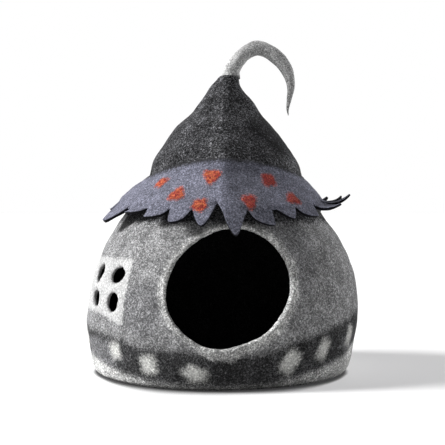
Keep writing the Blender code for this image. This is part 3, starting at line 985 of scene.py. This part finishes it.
    def sheet_point(self, index: int, k: int, row: int) -> tuple[Vector, float]:
        """A point of the sheet's inner face.

        Args:
            index: Which leaf.
            k: Its column, with the middle one on the leaf's tip.
            row: The row, from 0 at the collar's top edge.

        Returns:
            The point's place, and how full the felt is there.
        """
        leaf, following = self.leaves[index], self.leaves[(index + 1) % len(self.leaves)]
        after = following.notch + (360.0 if following.notch < leaf.notch else 0.0)
        at_tip = min(max((leaf.tip - leaf.notch) / (after - leaf.notch), self.tip_edge), 1.0 - self.tip_edge)
        half = self.leaf_columns // 2
        share = at_tip * k / half if k <= half else at_tip + (1.0 - at_tip) * (k - half) / half
        azimuth = leaf.notch + (after - leaf.notch) * share
        root = leaf.notch_height + (following.notch_height - leaf.notch_height) * share
        tapered = stout = 0.0
        if row <= self.skirt_rows:
            top = float(self.top_at(azimuth))
            height = top + (root - top) * row / self.skirt_rows
            radius, angle = self.skirt(azimuth, height)
        else:
            along = (row - self.skirt_rows) / self.leaf_rows
            first = share <= at_tip
            start, rise = (leaf.notch, share / at_tip) if first else (after, (1 - share) / (1 - at_tip))
            rise = min(max(rise, 0.0), 1.0)
            length = leaf.length * (1.0 - (1.0 - rise) ** self.tip_round) ** (leaf.before if first else leaf.after)
            azimuth += (start + (leaf.tip - start) * rise - azimuth) * along
            radius, height, angle = self.leaf_point(azimuth, root, leaf, length * along)
            reached = self.thin_speed * length * along / leaf.length
            tapered = leaf.thin * float(smooth_step(reached - self.thin_late))
            stout = self.stout * float(smooth_step(self.stout_speed * along)) * (1.0 - tapered)
        inwards = stout + self.sunk * (1.0 - float(smooth_step(row / (self.sunk_share * self.skirt_rows))))
        radius -= inwards * math.cos(angle)
        height -= inwards * math.sin(angle)
        fullness = self.top_full + (1.0 - self.top_full) * float(smooth_step(row / self.skirt_rows))
        return self.form.place(azimuth, radius, height), fullness * (1.0 - tapered) + stout / self.felt

    def build(self) -> Object:
        """Make the collar.

        Returns:
            The finished piece.
        """
        bm = bmesh.new()
        across, down = len(self.leaves) * self.leaf_columns, self.skirt_rows + self.leaf_rows
        bmesh.ops.create_grid(bm, x_segments=across, y_segments=down, size=1.0)
        weights = bm.verts.layers.deform.verify()
        for vert in bm.verts:
            index, k = divmod(round((vert.co.x + 1.0) / 2.0 * across) % across, self.leaf_columns)
            row = round((1.0 - vert.co.y) / 2.0 * down)
            vert.co, vert[weights][0] = self.sheet_point(index, k, row)
        bmesh.ops.remove_doubles(bm, verts=bm.verts, dist=self.seam)
        face_out(bm)
        outward = sum(face.normal.dot(Vector((*face.calc_center_median().xy, 0.0))) for face in bm.faces)
        if outward < 0.0:
            bmesh.ops.reverse_faces(bm, faces=bm.faces)
        collar = object_of(bm, "leafy_collar")
        collar.vertex_groups.new(name="fullness")
        self.thicken(collar)
        rounding = collar.modifiers.new("rounding", "SUBSURF")
        rounding.levels = rounding.render_levels = 1
        bake_modifiers(collar)
        mesh = collar.data
        points, normals = points_of(mesh), points_of(mesh, "normal")
        set_points(mesh, points + normals * sum(lump.at(points) for lump in self.lumps)[:, None])
        self.paint_regions(mesh)
        return collar

    def thicken(self, collar: Object) -> None:
        """Give the sheet its felt, grown outwards and thinner towards its top, and mark its inner face for the
        near-black underside wool and the painted shade on the cut edges.

        Args:
            collar: The sheet, with its fullness as weights.
        """
        inner = points_of(collar.data)
        felt = collar.modifiers.new("felt", "SOLIDIFY")
        felt.thickness = self.felt
        felt.offset = 1.0
        felt.vertex_group = "fullness"
        felt.edge_crease_inner = felt.edge_crease_outer = self.edge_crease
        bake_modifiers(collar)
        both = points_of(collar.data)
        side = np.arange(len(both)) < len(inner)
        first = np.abs(both[: len(inner)] - inner).max() < SAME_POINT
        # 1 on the inner face: near-black underside wool, which the finish also lays over most of the cut edges as
        #                      painted shade.
        paint(collar.data, "lining_and_painted_shade", side if first else ~side)

    def paint_regions(self, mesh: Mesh) -> None:
        """Store each point's distance below the top edge and inside the nearest tuft, and its share of the painted
        shade down the collar's +X side.

        Args:
            mesh: The finished collar.
        """
        points = points_of(mesh)
        azimuth, across = self.form.azimuth_of(points), self.form.across_of(points)
        paint(mesh, "below_top", self.top_at(azimuth) - points[:, 2])
        # Painted shade down the collar's +X side, away from the key light.
        past_ridge = smooth_step((azimuth - self.form.ridge_front) / self.collar_painted_shade_rise)
        paint(mesh, "collar_painted_shade", past_ridge * smooth_step((self.collar_painted_shade_to - azimuth) / self.collar_painted_shade_fall))
        best = np.full(len(points), FAR_OUT)
        for number, tuft in enumerate(self.tufts, start=1):
            x = np.radians(turned(azimuth - tuft.azimuth)) * across / (tuft.wide / 2)
            y = (points[:, 2] - tuft.height) / (tuft.tall / 2)
            for k in np.flatnonzero(np.hypot(x, y) < self.tuft_near):
                inside = 1.0 - math.hypot(x[k], y[k]) / self.tuft_bulge(number, tuft, math.atan2(y[k], x[k]))
                best[k] = max(best[k], tuft.depth(inside))
        paint(mesh, "tuft", best)

    def tuft_bulge(self, number: int, tuft: Tuft, around: float) -> float:
        """How far a tuft's outline stands out from its oval.

        Args:
            number: The tuft's number, from 1.
            tuft: The tuft.
            around: The angle round it, in radians.

        Returns:
            A factor near 1.
        """
        bulge = 1.0 + self.tuft_corner / tuft.corners**2 * math.cos(tuft.corners * (around - math.radians(tuft.turn)))
        x, y = self.tuft_waves * math.cos(around), self.tuft_waves * math.sin(around)
        return bulge + self.tuft_uneven * noise.noise(Vector((x, y, self.tuft_seed * number)))

    def build_tuft(self, number: int, tuft: Tuft, cloth: BVHTree) -> Object:
        """Make one needled tuft, a low pad worked into the collar's face.

        Args:
            number: The tuft's number, from 1.
            tuft: Its place and size.
            cloth: The finished collar's surface.

        Returns:
            The finished piece.
        """
        bm = bmesh.new()
        bmesh.ops.create_uvsphere(bm, u_segments=self.tuft_sides, v_segments=self.tuft_sides // 2, radius=1.0)
        pad = bm.verts.layers.float.new("pad")
        middle_radius = self.skirt(tuft.azimuth, tuft.height)[0]
        for vert in bm.verts:
            x, y, z = vert.co
            bulge = self.tuft_bulge(number, tuft, math.atan2(y, x))
            place = None
            while place is None:
                azimuth = tuft.azimuth + math.degrees(x * bulge * tuft.wide / 2 / middle_radius)
                height = tuft.height + y * bulge * tuft.tall / 2
                far, axis = (self.form.place(azimuth, radius, height) for radius in (self.look_from, self.look_to))
                place, outward, _, _ = cloth.ray_cast(far, axis - far, (axis - far).length)
                bulge -= self.tuft_shrink
            vert.co = place + outward * (self.tuft_depth * z + self.tuft_lift)
            vert[pad] = tuft.depth(1.0 - math.hypot(x, y))
        face_out(bm)
        return object_of(bm, f"needled_tuft_{number:02d}")


# The tail


@dataclass(frozen=True)
class TailPoint:
    """One point of the tail's middle line, in the plane y = 0, and the tail's radius there."""

    x: float
    z: float
    radius: float


@dataclass
class TailCurl:
    """The solid-felted hooked tail on the roof's point."""

    sides: int = 28
    rings: int = 96
    root_top: float = 0.4885
    root_side: float = 0.06
    look: float = 0.01
    lumps: tuple[Lump, ...] = table(Lump, (0.055, 0.012, 0.0), (0.05, 0.030, 0.0))
    points: tuple[TailPoint, ...] = table(
        TailPoint,
        (0.014, 0.4868, 0.0152), (0.0165, 0.5, 0.0134), (0.027, 0.5165, 0.012), (0.04, 0.5285, 0.0119),
        (0.056, 0.5355, 0.0124), (0.0735, 0.5315, 0.0122), (0.09, 0.5205, 0.0116), (0.103, 0.506, 0.0107),
        (0.111, 0.488, 0.0086), (0.1138, 0.47, 0.0062), (0.111, 0.451, 0.004), (0.1085, 0.435, 0.0022),
        (0.1095, 0.424, 0.0006),
    )

    def read(self, share: float) -> tuple[Vector, float]:
        """Read the middle line.

        Args:
            share: How far along the tail, 0 at its root and 1 at its tip.

        Returns:
            The place there and the tail's radius.
        """
        keys = np.arange(len(self.points), dtype=float)
        at = np.array([min(max(share, 0.0), 1.0) * (len(self.points) - 1)])
        x, z, radius = (float(smooth_rows(keys, column(self.points, name), at)[0]) for name in ("x", "z", "radius"))
        return Vector((x, 0.0, z)), radius

    def build(self) -> Object:
        """Make the tail.

        Returns:
            The finished piece.
        """
        bm = bmesh.new()
        bmesh.ops.create_circle(bm, radius=1.0, segments=self.sides)
        spin(bm, UP, self.rings, angle=0.0, rise=1.0 / self.rings)
        bmesh.ops.holes_fill(bm, edges=[edge for edge in bm.edges if edge.is_boundary], sides=0)
        frames = []
        for k in range(self.rings + 1):
            behind, here, ahead = (self.read(k / self.rings + step) for step in (-self.look, 0.0, self.look))
            frames.append((*here, (ahead[0] - behind[0]).normalized().cross(BACKWARDS)))
        for vert in bm.verts:
            place, radius, across = frames[round(vert.co.z * self.rings)]
            spot = place + (across * vert.co.x + BACKWARDS * vert.co.y) * radius
            vert.co = place + (spot - place) * (1.0 + sum(lump.at([spot])[0] for lump in self.lumps))
        face_out(bm)
        tail = object_of(bm, "hooked_tail")
        points = points_of(tail.data)
        # The depth below the root's top places the charcoal felted up from the roof and the tail's painted highlight.
        paint(tail.data, "root", np.where(points[:, 0] < self.root_side, self.root_top - points[:, 2], FAR_OUT))
        return tail


# The wools


def linear(colour: Colour) -> tuple[float, float, float, float]:
    """Turn a colour's sRGB values into the linear ones that shaders take.

    Args:
        colour: Red, green and blue, 0 to 255.

    Returns:
        Red, green, blue and alpha, 0 to 1.
    """
    shares = [value / 255.0 for value in colour]
    return (*(share / 12.92 if share <= 0.04045 else ((share + 0.055) / 1.055) ** 2.4 for share in shares), 1.0)


@dataclass
class NodeBoard:
    """Short calls for laying out nodes."""

    tree: bpy.types.NodeTree

    def node(self, kind: str, inputs: dict | None = None, **settings: object) -> bpy.types.Node:
        """Add a node.

        Args:
            kind: The node's type.
            inputs: Values or sockets for its inputs, by name or number.
            settings: Its properties.

        Returns:
            The new node.
        """
        made = self.tree.nodes.new(kind)
        for key, value in settings.items():
            setattr(made, key, value)
        for key, value in (inputs or {}).items():
            self.feed(made.inputs[key], value)
        return made

    def feed(self, socket: Socket, value: object) -> None:
        """Give an input a value, or link it to a socket.

        Args:
            socket: The input.
            value: A value or an output socket.
        """
        if isinstance(value, Socket):
            self.tree.links.new(value, socket)
        else:
            socket.default_value = value

    def math(self, operation: str, first: object, second: object = 0.0, **settings: object) -> Socket:
        """One sum of two numbers."""
        return self.node("ShaderNodeMath", {0: first, 1: second}, operation=operation, **settings).outputs[0]

    def about(self, value: object, middle: float, strength: float) -> Socket:
        """How far a number is from a middle, times a strength."""
        return self.math("MULTIPLY", self.math("SUBTRACT", value, middle), strength)

    def vector(self, operation: str, inputs: dict) -> Socket:
        """One sum of vectors."""
        return self.node("ShaderNodeVectorMath", inputs, operation=operation).outputs[0]

    def read(self, kind: str, output: str, inputs: dict | None = None, **settings: object) -> Socket:
        """One output of a new node."""
        return self.node(kind, inputs, **settings).outputs[output]

    def ramp(self, value: object, low: float, high: float, to_low: float = 0.0, to_high: float = 1.0) -> Socket:
        """An eased ramp from one range to another."""
        inputs = {"Value": value, "From Min": low, "From Max": high, "To Min": to_low, "To Max": to_high}
        return self.read("ShaderNodeMapRange", "Result", inputs, interpolation_type="SMOOTHSTEP")

    def mix(self, share: object, first: object, second: object) -> Socket:
        """Mix two colours."""
        return self.node("ShaderNodeMix", {0: share, 6: first, 7: second}, data_type="RGBA").outputs[2]

    def blend(self, share: object, first: object, second: object) -> Socket:
        """Mix two numbers."""
        return self.read("ShaderNodeMix", "Result", {"Factor": share, "A": first, "B": second}, data_type="FLOAT")


@dataclass
class WoolBoard(NodeBoard):
    """The board of one wool's material, with the patterns that wool is made of."""

    tree: bpy.types.NodeTree = field(init=False)
    name: str
    material: Material = field(init=False)
    shader: bpy.types.Node = field(init=False)
    coordinates: Socket = field(init=False)

    def __post_init__(self) -> None:
        """Start the material with its shader and its object coordinates."""
        self.material = bpy.data.materials.new(self.name)
        self.material.use_nodes = True
        self.tree = self.material.node_tree
        self.shader = self.tree.nodes["Principled BSDF"]
        self.coordinates = self.read("ShaderNodeTexCoord", "Object")

    def dress(self, **inputs: object) -> None:
        """Set the shader's inputs, whose names are given with _ for each space."""
        for name, value in inputs.items():
            self.feed(self.shader.inputs[name.replace("_", " ")], value)

    def noise(self, size: float, detail: float, roughness: float, swirl: float = 0.0, at: object = None) -> Socket:
        """Noise with features of a size in metres, from 0 to 1."""
        inputs = {"Vector": at or self.coordinates, "Scale": 1.0 / size, "Detail": detail, "Roughness": roughness}
        return self.read("ShaderNodeTexNoise", "Fac", {**inputs, "Distortion": swirl})

    def region(self, name: str, soft: float, wander: object, shift: float) -> Socket:
        """A region's share, with an edge that wanders and is soft.

        Args:
            name: The attribute that holds the depth inside the region, or the share itself where soft is 0.
            soft: Half the width of the soft edge, in metres.
            wander: A number in metres added to the depth.
            shift: Moves the edge, in metres.

        Returns:
            0 outside and 1 inside.
        """
        depth = self.read("ShaderNodeAttribute", "Fac", attribute_name=name)
        return self.ramp(self.math("ADD", depth, wander), shift - soft, shift + soft) if soft else depth

    def swirled(self, size: float, reach: float) -> Socket:
        """Object coordinates pushed about, so that the wool's strands curl.

        Args:
            size: The width of a curl.
            reach: How far it pushes.

        Returns:
            The pushed coordinates.
        """
        inputs = {"Vector": self.coordinates, "Scale": 1.0 / size, "Detail": 1.0}
        push = self.vector("SUBTRACT", {0: self.read("ShaderNodeTexNoise", "Color", inputs), 1: (0.5, 0.5, 0.5)})
        return self.vector("ADD", {0: self.coordinates, 1: self.vector("SCALE", {0: push, "Scale": reach})})


@dataclass(frozen=True)
class Marl:
    """How strongly a wool's dark and light fibres show, and how deep its surface is."""

    grain: float = 0.0027
    contrast: float = 4.3
    strands: float = 1.1
    cloud: float = 1.6
    bump: float = 0.9
    relief: float = 0.0009
    curl: float = 0.007
    curl_reach: float = 0.005
    strand_size: float = 1.7
    strand_swirl: float = 1.2
    line_width: float = 0.035
    line_mean: float = 0.2
    line_high: float = 0.3
    cloud_size: float = 0.026
    rough: float = 0.95
    gloss: float = 0.1

    def finish(self, board: WoolBoard, colour: Socket, salt: object, sheen: float) -> None:
        """Lay out the fibres and dress the shader.

        Args:
            board: The wool's board.
            colour: The wool's mean colour.
            salt: How strongly the fibres differ, by place.
            sheen: How much the fuzz catches light.
        """
        curled = board.swirled(self.curl, self.curl_reach)
        grain = board.noise(self.grain, 2.0, 0.6, 0.0, curled)
        strand = board.noise(self.strand_size * self.grain, 1.0, 0.5, self.strand_swirl, curled)
        from_line = board.math("ABSOLUTE", board.math("SUBTRACT", strand, 0.5))
        line = board.ramp(from_line, 0.0, self.line_width, 1.0, 0.0)
        lines = board.about(line, self.line_mean, self.strands)
        parts = board.math("ADD", board.about(grain, 0.5, self.contrast), lines)
        parts = board.math("ADD", parts, board.about(board.noise(self.cloud_size, 3.0, 0.55), 0.5, self.cloud))
        factor = board.math("POWER", math.e, board.math("MULTIPLY", board.math("TANH", parts), salt))
        height = board.blend(self.line_high, grain, line)
        bump = {"Strength": self.bump, "Distance": self.relief, "Height": height}
        board.dress(Base_Color=board.vector("SCALE", {0: colour, "Scale": factor}),
                    Normal=board.read("ShaderNodeBump", "Normal", bump), Roughness=self.rough,
                    Specular_IOR_Level=self.gloss, Sheen_Weight=sheen, Sheen_Roughness=0.5)


class Edge(Enum):
    """How the edge of one wool lies on the wool below it."""

    CLEAN = "clean"
    FRAYED = "frayed"
    WANDERING = "wandering"


@dataclass(frozen=True)
class Layer:
    """One layer of wool, painted shade or painted highlight over those below: its region, its colour, its edge and how
    much its fibres differ.

    Where soft is 0, the region's stored number is the share itself.
    """

    region: str
    colour: Colour
    soft: float
    edge: Edge = Edge.FRAYED
    salt: float | None = None
    shift: float = 0.0
    share: float = 1.0


@dataclass(frozen=True)
class Wool:
    """A piece's finish: a wool with other wools, painted shade and painted highlights laid over it by region."""

    name: str
    base: Colour
    layers: tuple[Layer, ...]
    marl: Marl = Marl()
    fray_size: float = 0.005
    fray_reach: float = 0.012
    fray_rough: float = 0.8
    wander_size: float = 0.013
    wander_reach: float = 0.0
    wander_rough: float = 0.7
    salt: float = 1.0
    sheen: float = 0.02

    def colour_of(self, board: WoolBoard, layer: Layer) -> object:
        """A layer's colour."""
        return linear(layer.colour)

    def make(self) -> Material:
        """Lay out the wool.

        Returns:
            The material.
        """
        board = WoolBoard(self.name)
        fray = board.about(board.noise(self.fray_size, 3.0, self.fray_rough), 0.5, self.fray_reach)
        edges = {Edge.CLEAN: 0.0, Edge.FRAYED: fray}
        if self.wander_reach:
            wander = board.about(board.noise(self.wander_size, 3.0, self.wander_rough), 0.5, self.wander_reach)
            edges[Edge.WANDERING] = board.math("ADD", wander, fray)
        colour, salt = linear(self.base), self.salt
        for layer in self.layers:
            share = board.region(layer.region, layer.soft, edges[layer.edge], layer.shift)
            if layer.share < 1.0:
                share = board.math("MULTIPLY", share, layer.share)
            colour = board.mix(share, colour, self.colour_of(board, layer))
            if layer.salt is not None:
                salt = board.blend(share, salt, layer.salt)
        self.marl.finish(board, colour, salt, self.sheen)
        return board.material


CHARCOAL: Colour = (50, 50, 52)
BLUE_GREY: Colour = (106, 107, 120)


@dataclass(frozen=True)
class CaveWool(Wool):
    """The cave's wools: body, hem, band, dots, window field, door ring, roof, cut edges and dark inside, with painted
    shade under the collar, on the roof's +X side and right of the door, and a painted highlight on the roof's ridge.
    """

    name: str = "marled_cave_wool"
    base: Colour = (131, 131, 132)
    layers: tuple[Layer, ...] = (
        Layer("hem", (186, 186, 185), 0.0070, Edge.WANDERING, 1.2),
        Layer("band", (56, 56, 57), 0.0080, Edge.WANDERING, 1.7, shift=0.001),
        # Patches of other grey wool, and painted shade right of the door under the collar.
        Layer("wash_and_painted_shade", (112, 112, 114), 0.0100, Edge.WANDERING, 1.2, share=0.75),
        Layer("dot", (194, 194, 191), 0.0086, Edge.FRAYED, 0.6, shift=0.0012),
        Layer("field", (182, 182, 182), 0.0028, Edge.FRAYED, 0.6),
        Layer("rim", (177, 177, 176), 0.0060, Edge.WANDERING, 1.2),
        # The roof's charcoal wool, which below the collar is painted shade in the notches between the leaves.
        Layer("roof", (54, 54, 56), 0.0070, Edge.WANDERING, 2.5),
        # Painted highlight on the lit flank of the roof's ridge.
        Layer("ridge_painted_highlight", (74, 74, 76), 0.0160, Edge.WANDERING, 2.5, share=0.5),
        # Painted shade on the roof's +X side.
        Layer("roof_painted_shade", (33, 33, 35), 0.0280, Edge.WANDERING, 2.5, shift=0.010),
        Layer("cut", (150, 150, 150), 0.0008, Edge.CLEAN),
        Layer("inside", (34, 34, 35), 0.0012),
    )
    fray_size: float = 0.004
    wander_reach: float = 0.018
    salt: float = 1.2


@dataclass(frozen=True)
class CollarWool(Wool):
    """The collar's blue-grey wool on a near-black underside, which also covers most of the cut edges as painted shade,
    with painted shade down its +X side, charcoal over its top edge and orange round its tufts.
    """

    name: str = "blue_grey_collar_wool"
    base: Colour = CHARCOAL
    layers: tuple[Layer, ...] = (
        Layer("below_top", BLUE_GREY, 0.0050, shift=0.005),
        # Painted shade down the collar's +X side.
        Layer("collar_painted_shade", CHARCOAL, 0.0, share=0.34),
        Layer("tuft", (152, 70, 54), 0.0024, shift=-0.0010, share=0.85),
        # Near-black underside wool, and painted shade over most of the cut edges.
        Layer("lining_and_painted_shade", (13, 13, 18), 0.09, Edge.CLEAN, shift=0.17),
    )
    marl: Marl = Marl(grain=0.0025, contrast=4.6, strands=1.0, cloud=1.4, bump=0.7, relief=0.0006)
    fray_reach: float = 0.014


@dataclass(frozen=True)
class TuftWool(Wool):
    """The tufts' orange wool, with patches of red and painted shade that turns it red towards +X, frayed into the
    collar's cloth.
    """

    name: str = "orange_tuft_wool"
    base: Colour = BLUE_GREY
    layers: tuple[Layer, ...] = (Layer("pad", (174, 92, 62), 0.0012, shift=0.0006),)
    marl: Marl = Marl(grain=0.0020, contrast=4.2, strands=1.0, cloud=0.6, bump=1.0, relief=0.0008)
    fray_size: float = 0.004
    fray_reach: float = 0.006
    sheen: float = 0.05
    # The red of the patches, and of the painted shade towards +X.
    red: Colour = (136, 50, 46)
    red_size: float = 0.005
    red_from: float = 0.38
    red_to: float = 0.62
    # Painted shade: how far the orange turns red towards +X, away from the key light, and over which x.
    tuft_painted_shade_share: float = 0.60
    tuft_painted_shade_from: float = -0.02
    tuft_painted_shade_to: float = 0.04

    def colour_of(self, board: WoolBoard, layer: Layer) -> object:
        """The orange with its red patches and its painted shade towards +X.

        Args:
            board: The wool's board.
            layer: The layer of orange.

        Returns:
            The mixed colour.
        """
        patches = board.ramp(board.noise(self.red_size, 2.0, 0.6), self.red_from, self.red_to)
        across = board.read("ShaderNodeSeparateXYZ", "X", {"Vector": board.coordinates})
        # Painted shade towards +X.
        sideways = board.ramp(across, self.tuft_painted_shade_from, self.tuft_painted_shade_to, 0.0, self.tuft_painted_shade_share)
        return board.mix(board.math("ADD", patches, sideways, use_clamp=True), linear(layer.colour), linear(self.red))


@dataclass(frozen=True)
class TailWool(Wool):
    """The tail's pale marled wool, paler at its root as a painted highlight, with charcoal felted up from the roof."""

    name: str = "pale_tail_wool"
    base: Colour = (160, 160, 160)
    layers: tuple[Layer, ...] = (
        # Painted highlight: paler wool over the rising part of the tail near its root.
        Layer("root", (176, 176, 176), 0.010, shift=-0.036),
        Layer("root", CHARCOAL, 0.004),
    )
    marl: Marl = Marl(grain=0.0021, contrast=5.0, strands=1.1, cloud=1.4)
    sheen: float = 0.08


# The studio


@dataclass(frozen=True)
class Lamp:
    """One soft light: where it comes from, how wide it looks and its strength."""

    name: str
    azimuth: float
    elevation: float
    spread: float
    strength: float

    def build(self) -> None:
        """Hang the light."""
        turn, rise = math.radians(self.azimuth), math.radians(self.elevation)
        towards = Vector((math.sin(turn) * math.cos(rise), -math.cos(turn) * math.cos(rise), math.sin(rise)))
        lamp = bpy.data.lights.new(self.name, "SUN")
        lamp.energy = self.strength
        lamp.angle = math.radians(self.spread)
        hung = bpy.data.objects.new(self.name, lamp)
        hung.rotation_euler = towards.to_track_quat("Z", "Y").to_euler()
        bpy.context.scene.collection.objects.link(hung)


@dataclass(frozen=True)
class Studio:
    """The pale floor, the white room, the lights and the camera."""

    eye: tuple[float, float, float] = (0.0, -1.70, 0.27)
    pitch_down: float = 0.82
    lens: float = 82.5
    sensor: float = 36.0
    sight: float = 200.0
    lamps: tuple[Lamp, ...] = table(
        Lamp, ("key", -85.0, 35.0, 20.0, 6.1), ("kicker", 124.0, 4.0, 62.0, 3.3), ("fill", -6.0, 4.0, 60.0, 0.35)
    )
    room: float = 0.30
    room_least: float = 0.02
    room_way: tuple[float, float, float] = (0.22, 0.44, -0.26)
    floor_reach: float = 40.0
    floor_paper: float = 0.55
    floor_glow: float = 0.37
    floor_tint: tuple[float, float, float] = (0.99, 0.985, 1.0)
    floor_dark: float = 0.12
    floor_rough: float = 0.9
    sky_least: float = 0.30
    sky_open: float = 0.95
    contact: float = 0.042
    contact_at_ends: float = 0.009
    end_from: float = 0.08
    end_to: float = 0.20

    def build(self) -> None:
        """Set the stage."""
        self.build_floor()
        for lamp in self.lamps:
            lamp.build()
        self.build_room()
        self.build_camera()

    def build_floor(self) -> None:
        """The floor, a wide sheet of pale paper that looks a little brighter than it lights the cave."""
        bm = bmesh.new()
        bmesh.ops.create_grid(bm, x_segments=8, y_segments=8, size=self.floor_reach)
        floor = object_of(bm, "studio_floor")
        board = WoolBoard("studio_paper")
        seen = board.read("ShaderNodeLightPath", "Is Camera Ray")
        across = board.read("ShaderNodeSeparateXYZ", "X", {"Vector": board.coordinates})
        from_middle = board.math("ABSOLUTE", across)
        reach = board.ramp(from_middle, self.end_from, self.end_to, self.contact, self.contact_at_ends)
        open_sky = board.read("ShaderNodeAmbientOcclusion", "AO", {"Distance": reach})
        lit = board.ramp(open_sky, self.sky_least, self.sky_open, self.floor_dark)
        glow = board.math("MULTIPLY", board.math("MULTIPLY", seen, self.floor_glow), lit)
        paper = board.mix(lit, (0.0, 0.0, 0.0, 1.0), (*[self.floor_paper] * 3, 1.0))
        board.dress(Base_Color=paper, Roughness=self.floor_rough, Specular_IOR_Level=0.0,
                    Emission_Color=(*self.floor_tint, 1.0), Emission_Strength=glow)
        floor.data.materials.append(board.material)

    def build_room(self) -> None:
        """The white room: it lights the cave more from behind and from the right than from the front."""
        world = bpy.data.worlds.new("white_room")
        world.use_nodes = True
        board = NodeBoard(world.node_tree)
        way = board.read("ShaderNodeTexCoord", "Generated")
        side = board.read("ShaderNodeVectorMath", "Value", {0: way, 1: self.room_way}, operation="DOT_PRODUCT")
        level = board.math("MAXIMUM", board.math("ADD", side, self.room), self.room_least)
        background = board.tree.nodes["Background"]
        background.inputs["Color"].default_value = (1.0, 1.0, 1.0, 1.0)
        seen = board.read("ShaderNodeLightPath", "Is Camera Ray")
        board.feed(background.inputs["Strength"], board.blend(seen, level, 1.0))
        bpy.context.scene.world = world
        bpy.context.scene.view_settings.view_transform = "Standard"

    def build_camera(self) -> None:
        """The camera, level with the cave's collar."""
        lens = bpy.data.cameras.new("camera")
        lens.lens, lens.sensor_width, lens.clip_end = self.lens, self.sensor, self.sight
        camera = bpy.data.objects.new("camera", lens)
        camera.location = self.eye
        camera.rotation_euler = (math.radians(90.0 - self.pitch_down), 0.0, 0.0)
        bpy.context.scene.collection.objects.link(camera)
        bpy.context.scene.camera = camera


# The whole cave


def settle(piece: Object, finish: Material, slot: Slot, *nodes: str) -> None:
    """Dress a piece, fix it to the cave and let it stand for its plain solids.

    Args:
        piece: The finished piece.
        finish: Its material.
        slot: The record's slot of the piece's finish. It is not used.
        nodes: The plain solids that it replaces.
    """
    piece.data.materials.clear()
    piece.data.materials.append(finish)
    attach(piece, BODY)
    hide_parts(*nodes)
    log.info("%s: %d points", piece.name, len(piece.data.vertices))


def main() -> None:
    """Build the studio and the cave's pieces in order."""
    logging.basicConfig(level=logging.INFO, format="%(message)s")
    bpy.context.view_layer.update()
    Studio().build()
    form = CaveForm()

    shell = CaveShell(form).build()
    settle(shell, CaveWool().make(), Slot.GREY_WOOL, "cave_shell")

    collar_maker = LeafCollar(form)
    collar = collar_maker.build()
    settle(collar, CollarWool().make(), Slot.BLUE_GREY_WOOL, "leaf_collar")
    tuft_wool = TuftWool().make()
    cloth = surface_of(collar)
    tufts = []
    for number, tuft in enumerate(collar_maker.tufts, start=1):
        tufts.append(collar_maker.build_tuft(number, tuft, cloth))
        settle(tufts[-1], tuft_wool, Slot.ORANGE_WOOL, f"collar_spot_{number:02d}")

    tail = TailCurl().build()
    settle(tail, TailWool().make(), Slot.PALE_WOOL, "tail_curl")


if __name__ == "__main__":
    main()
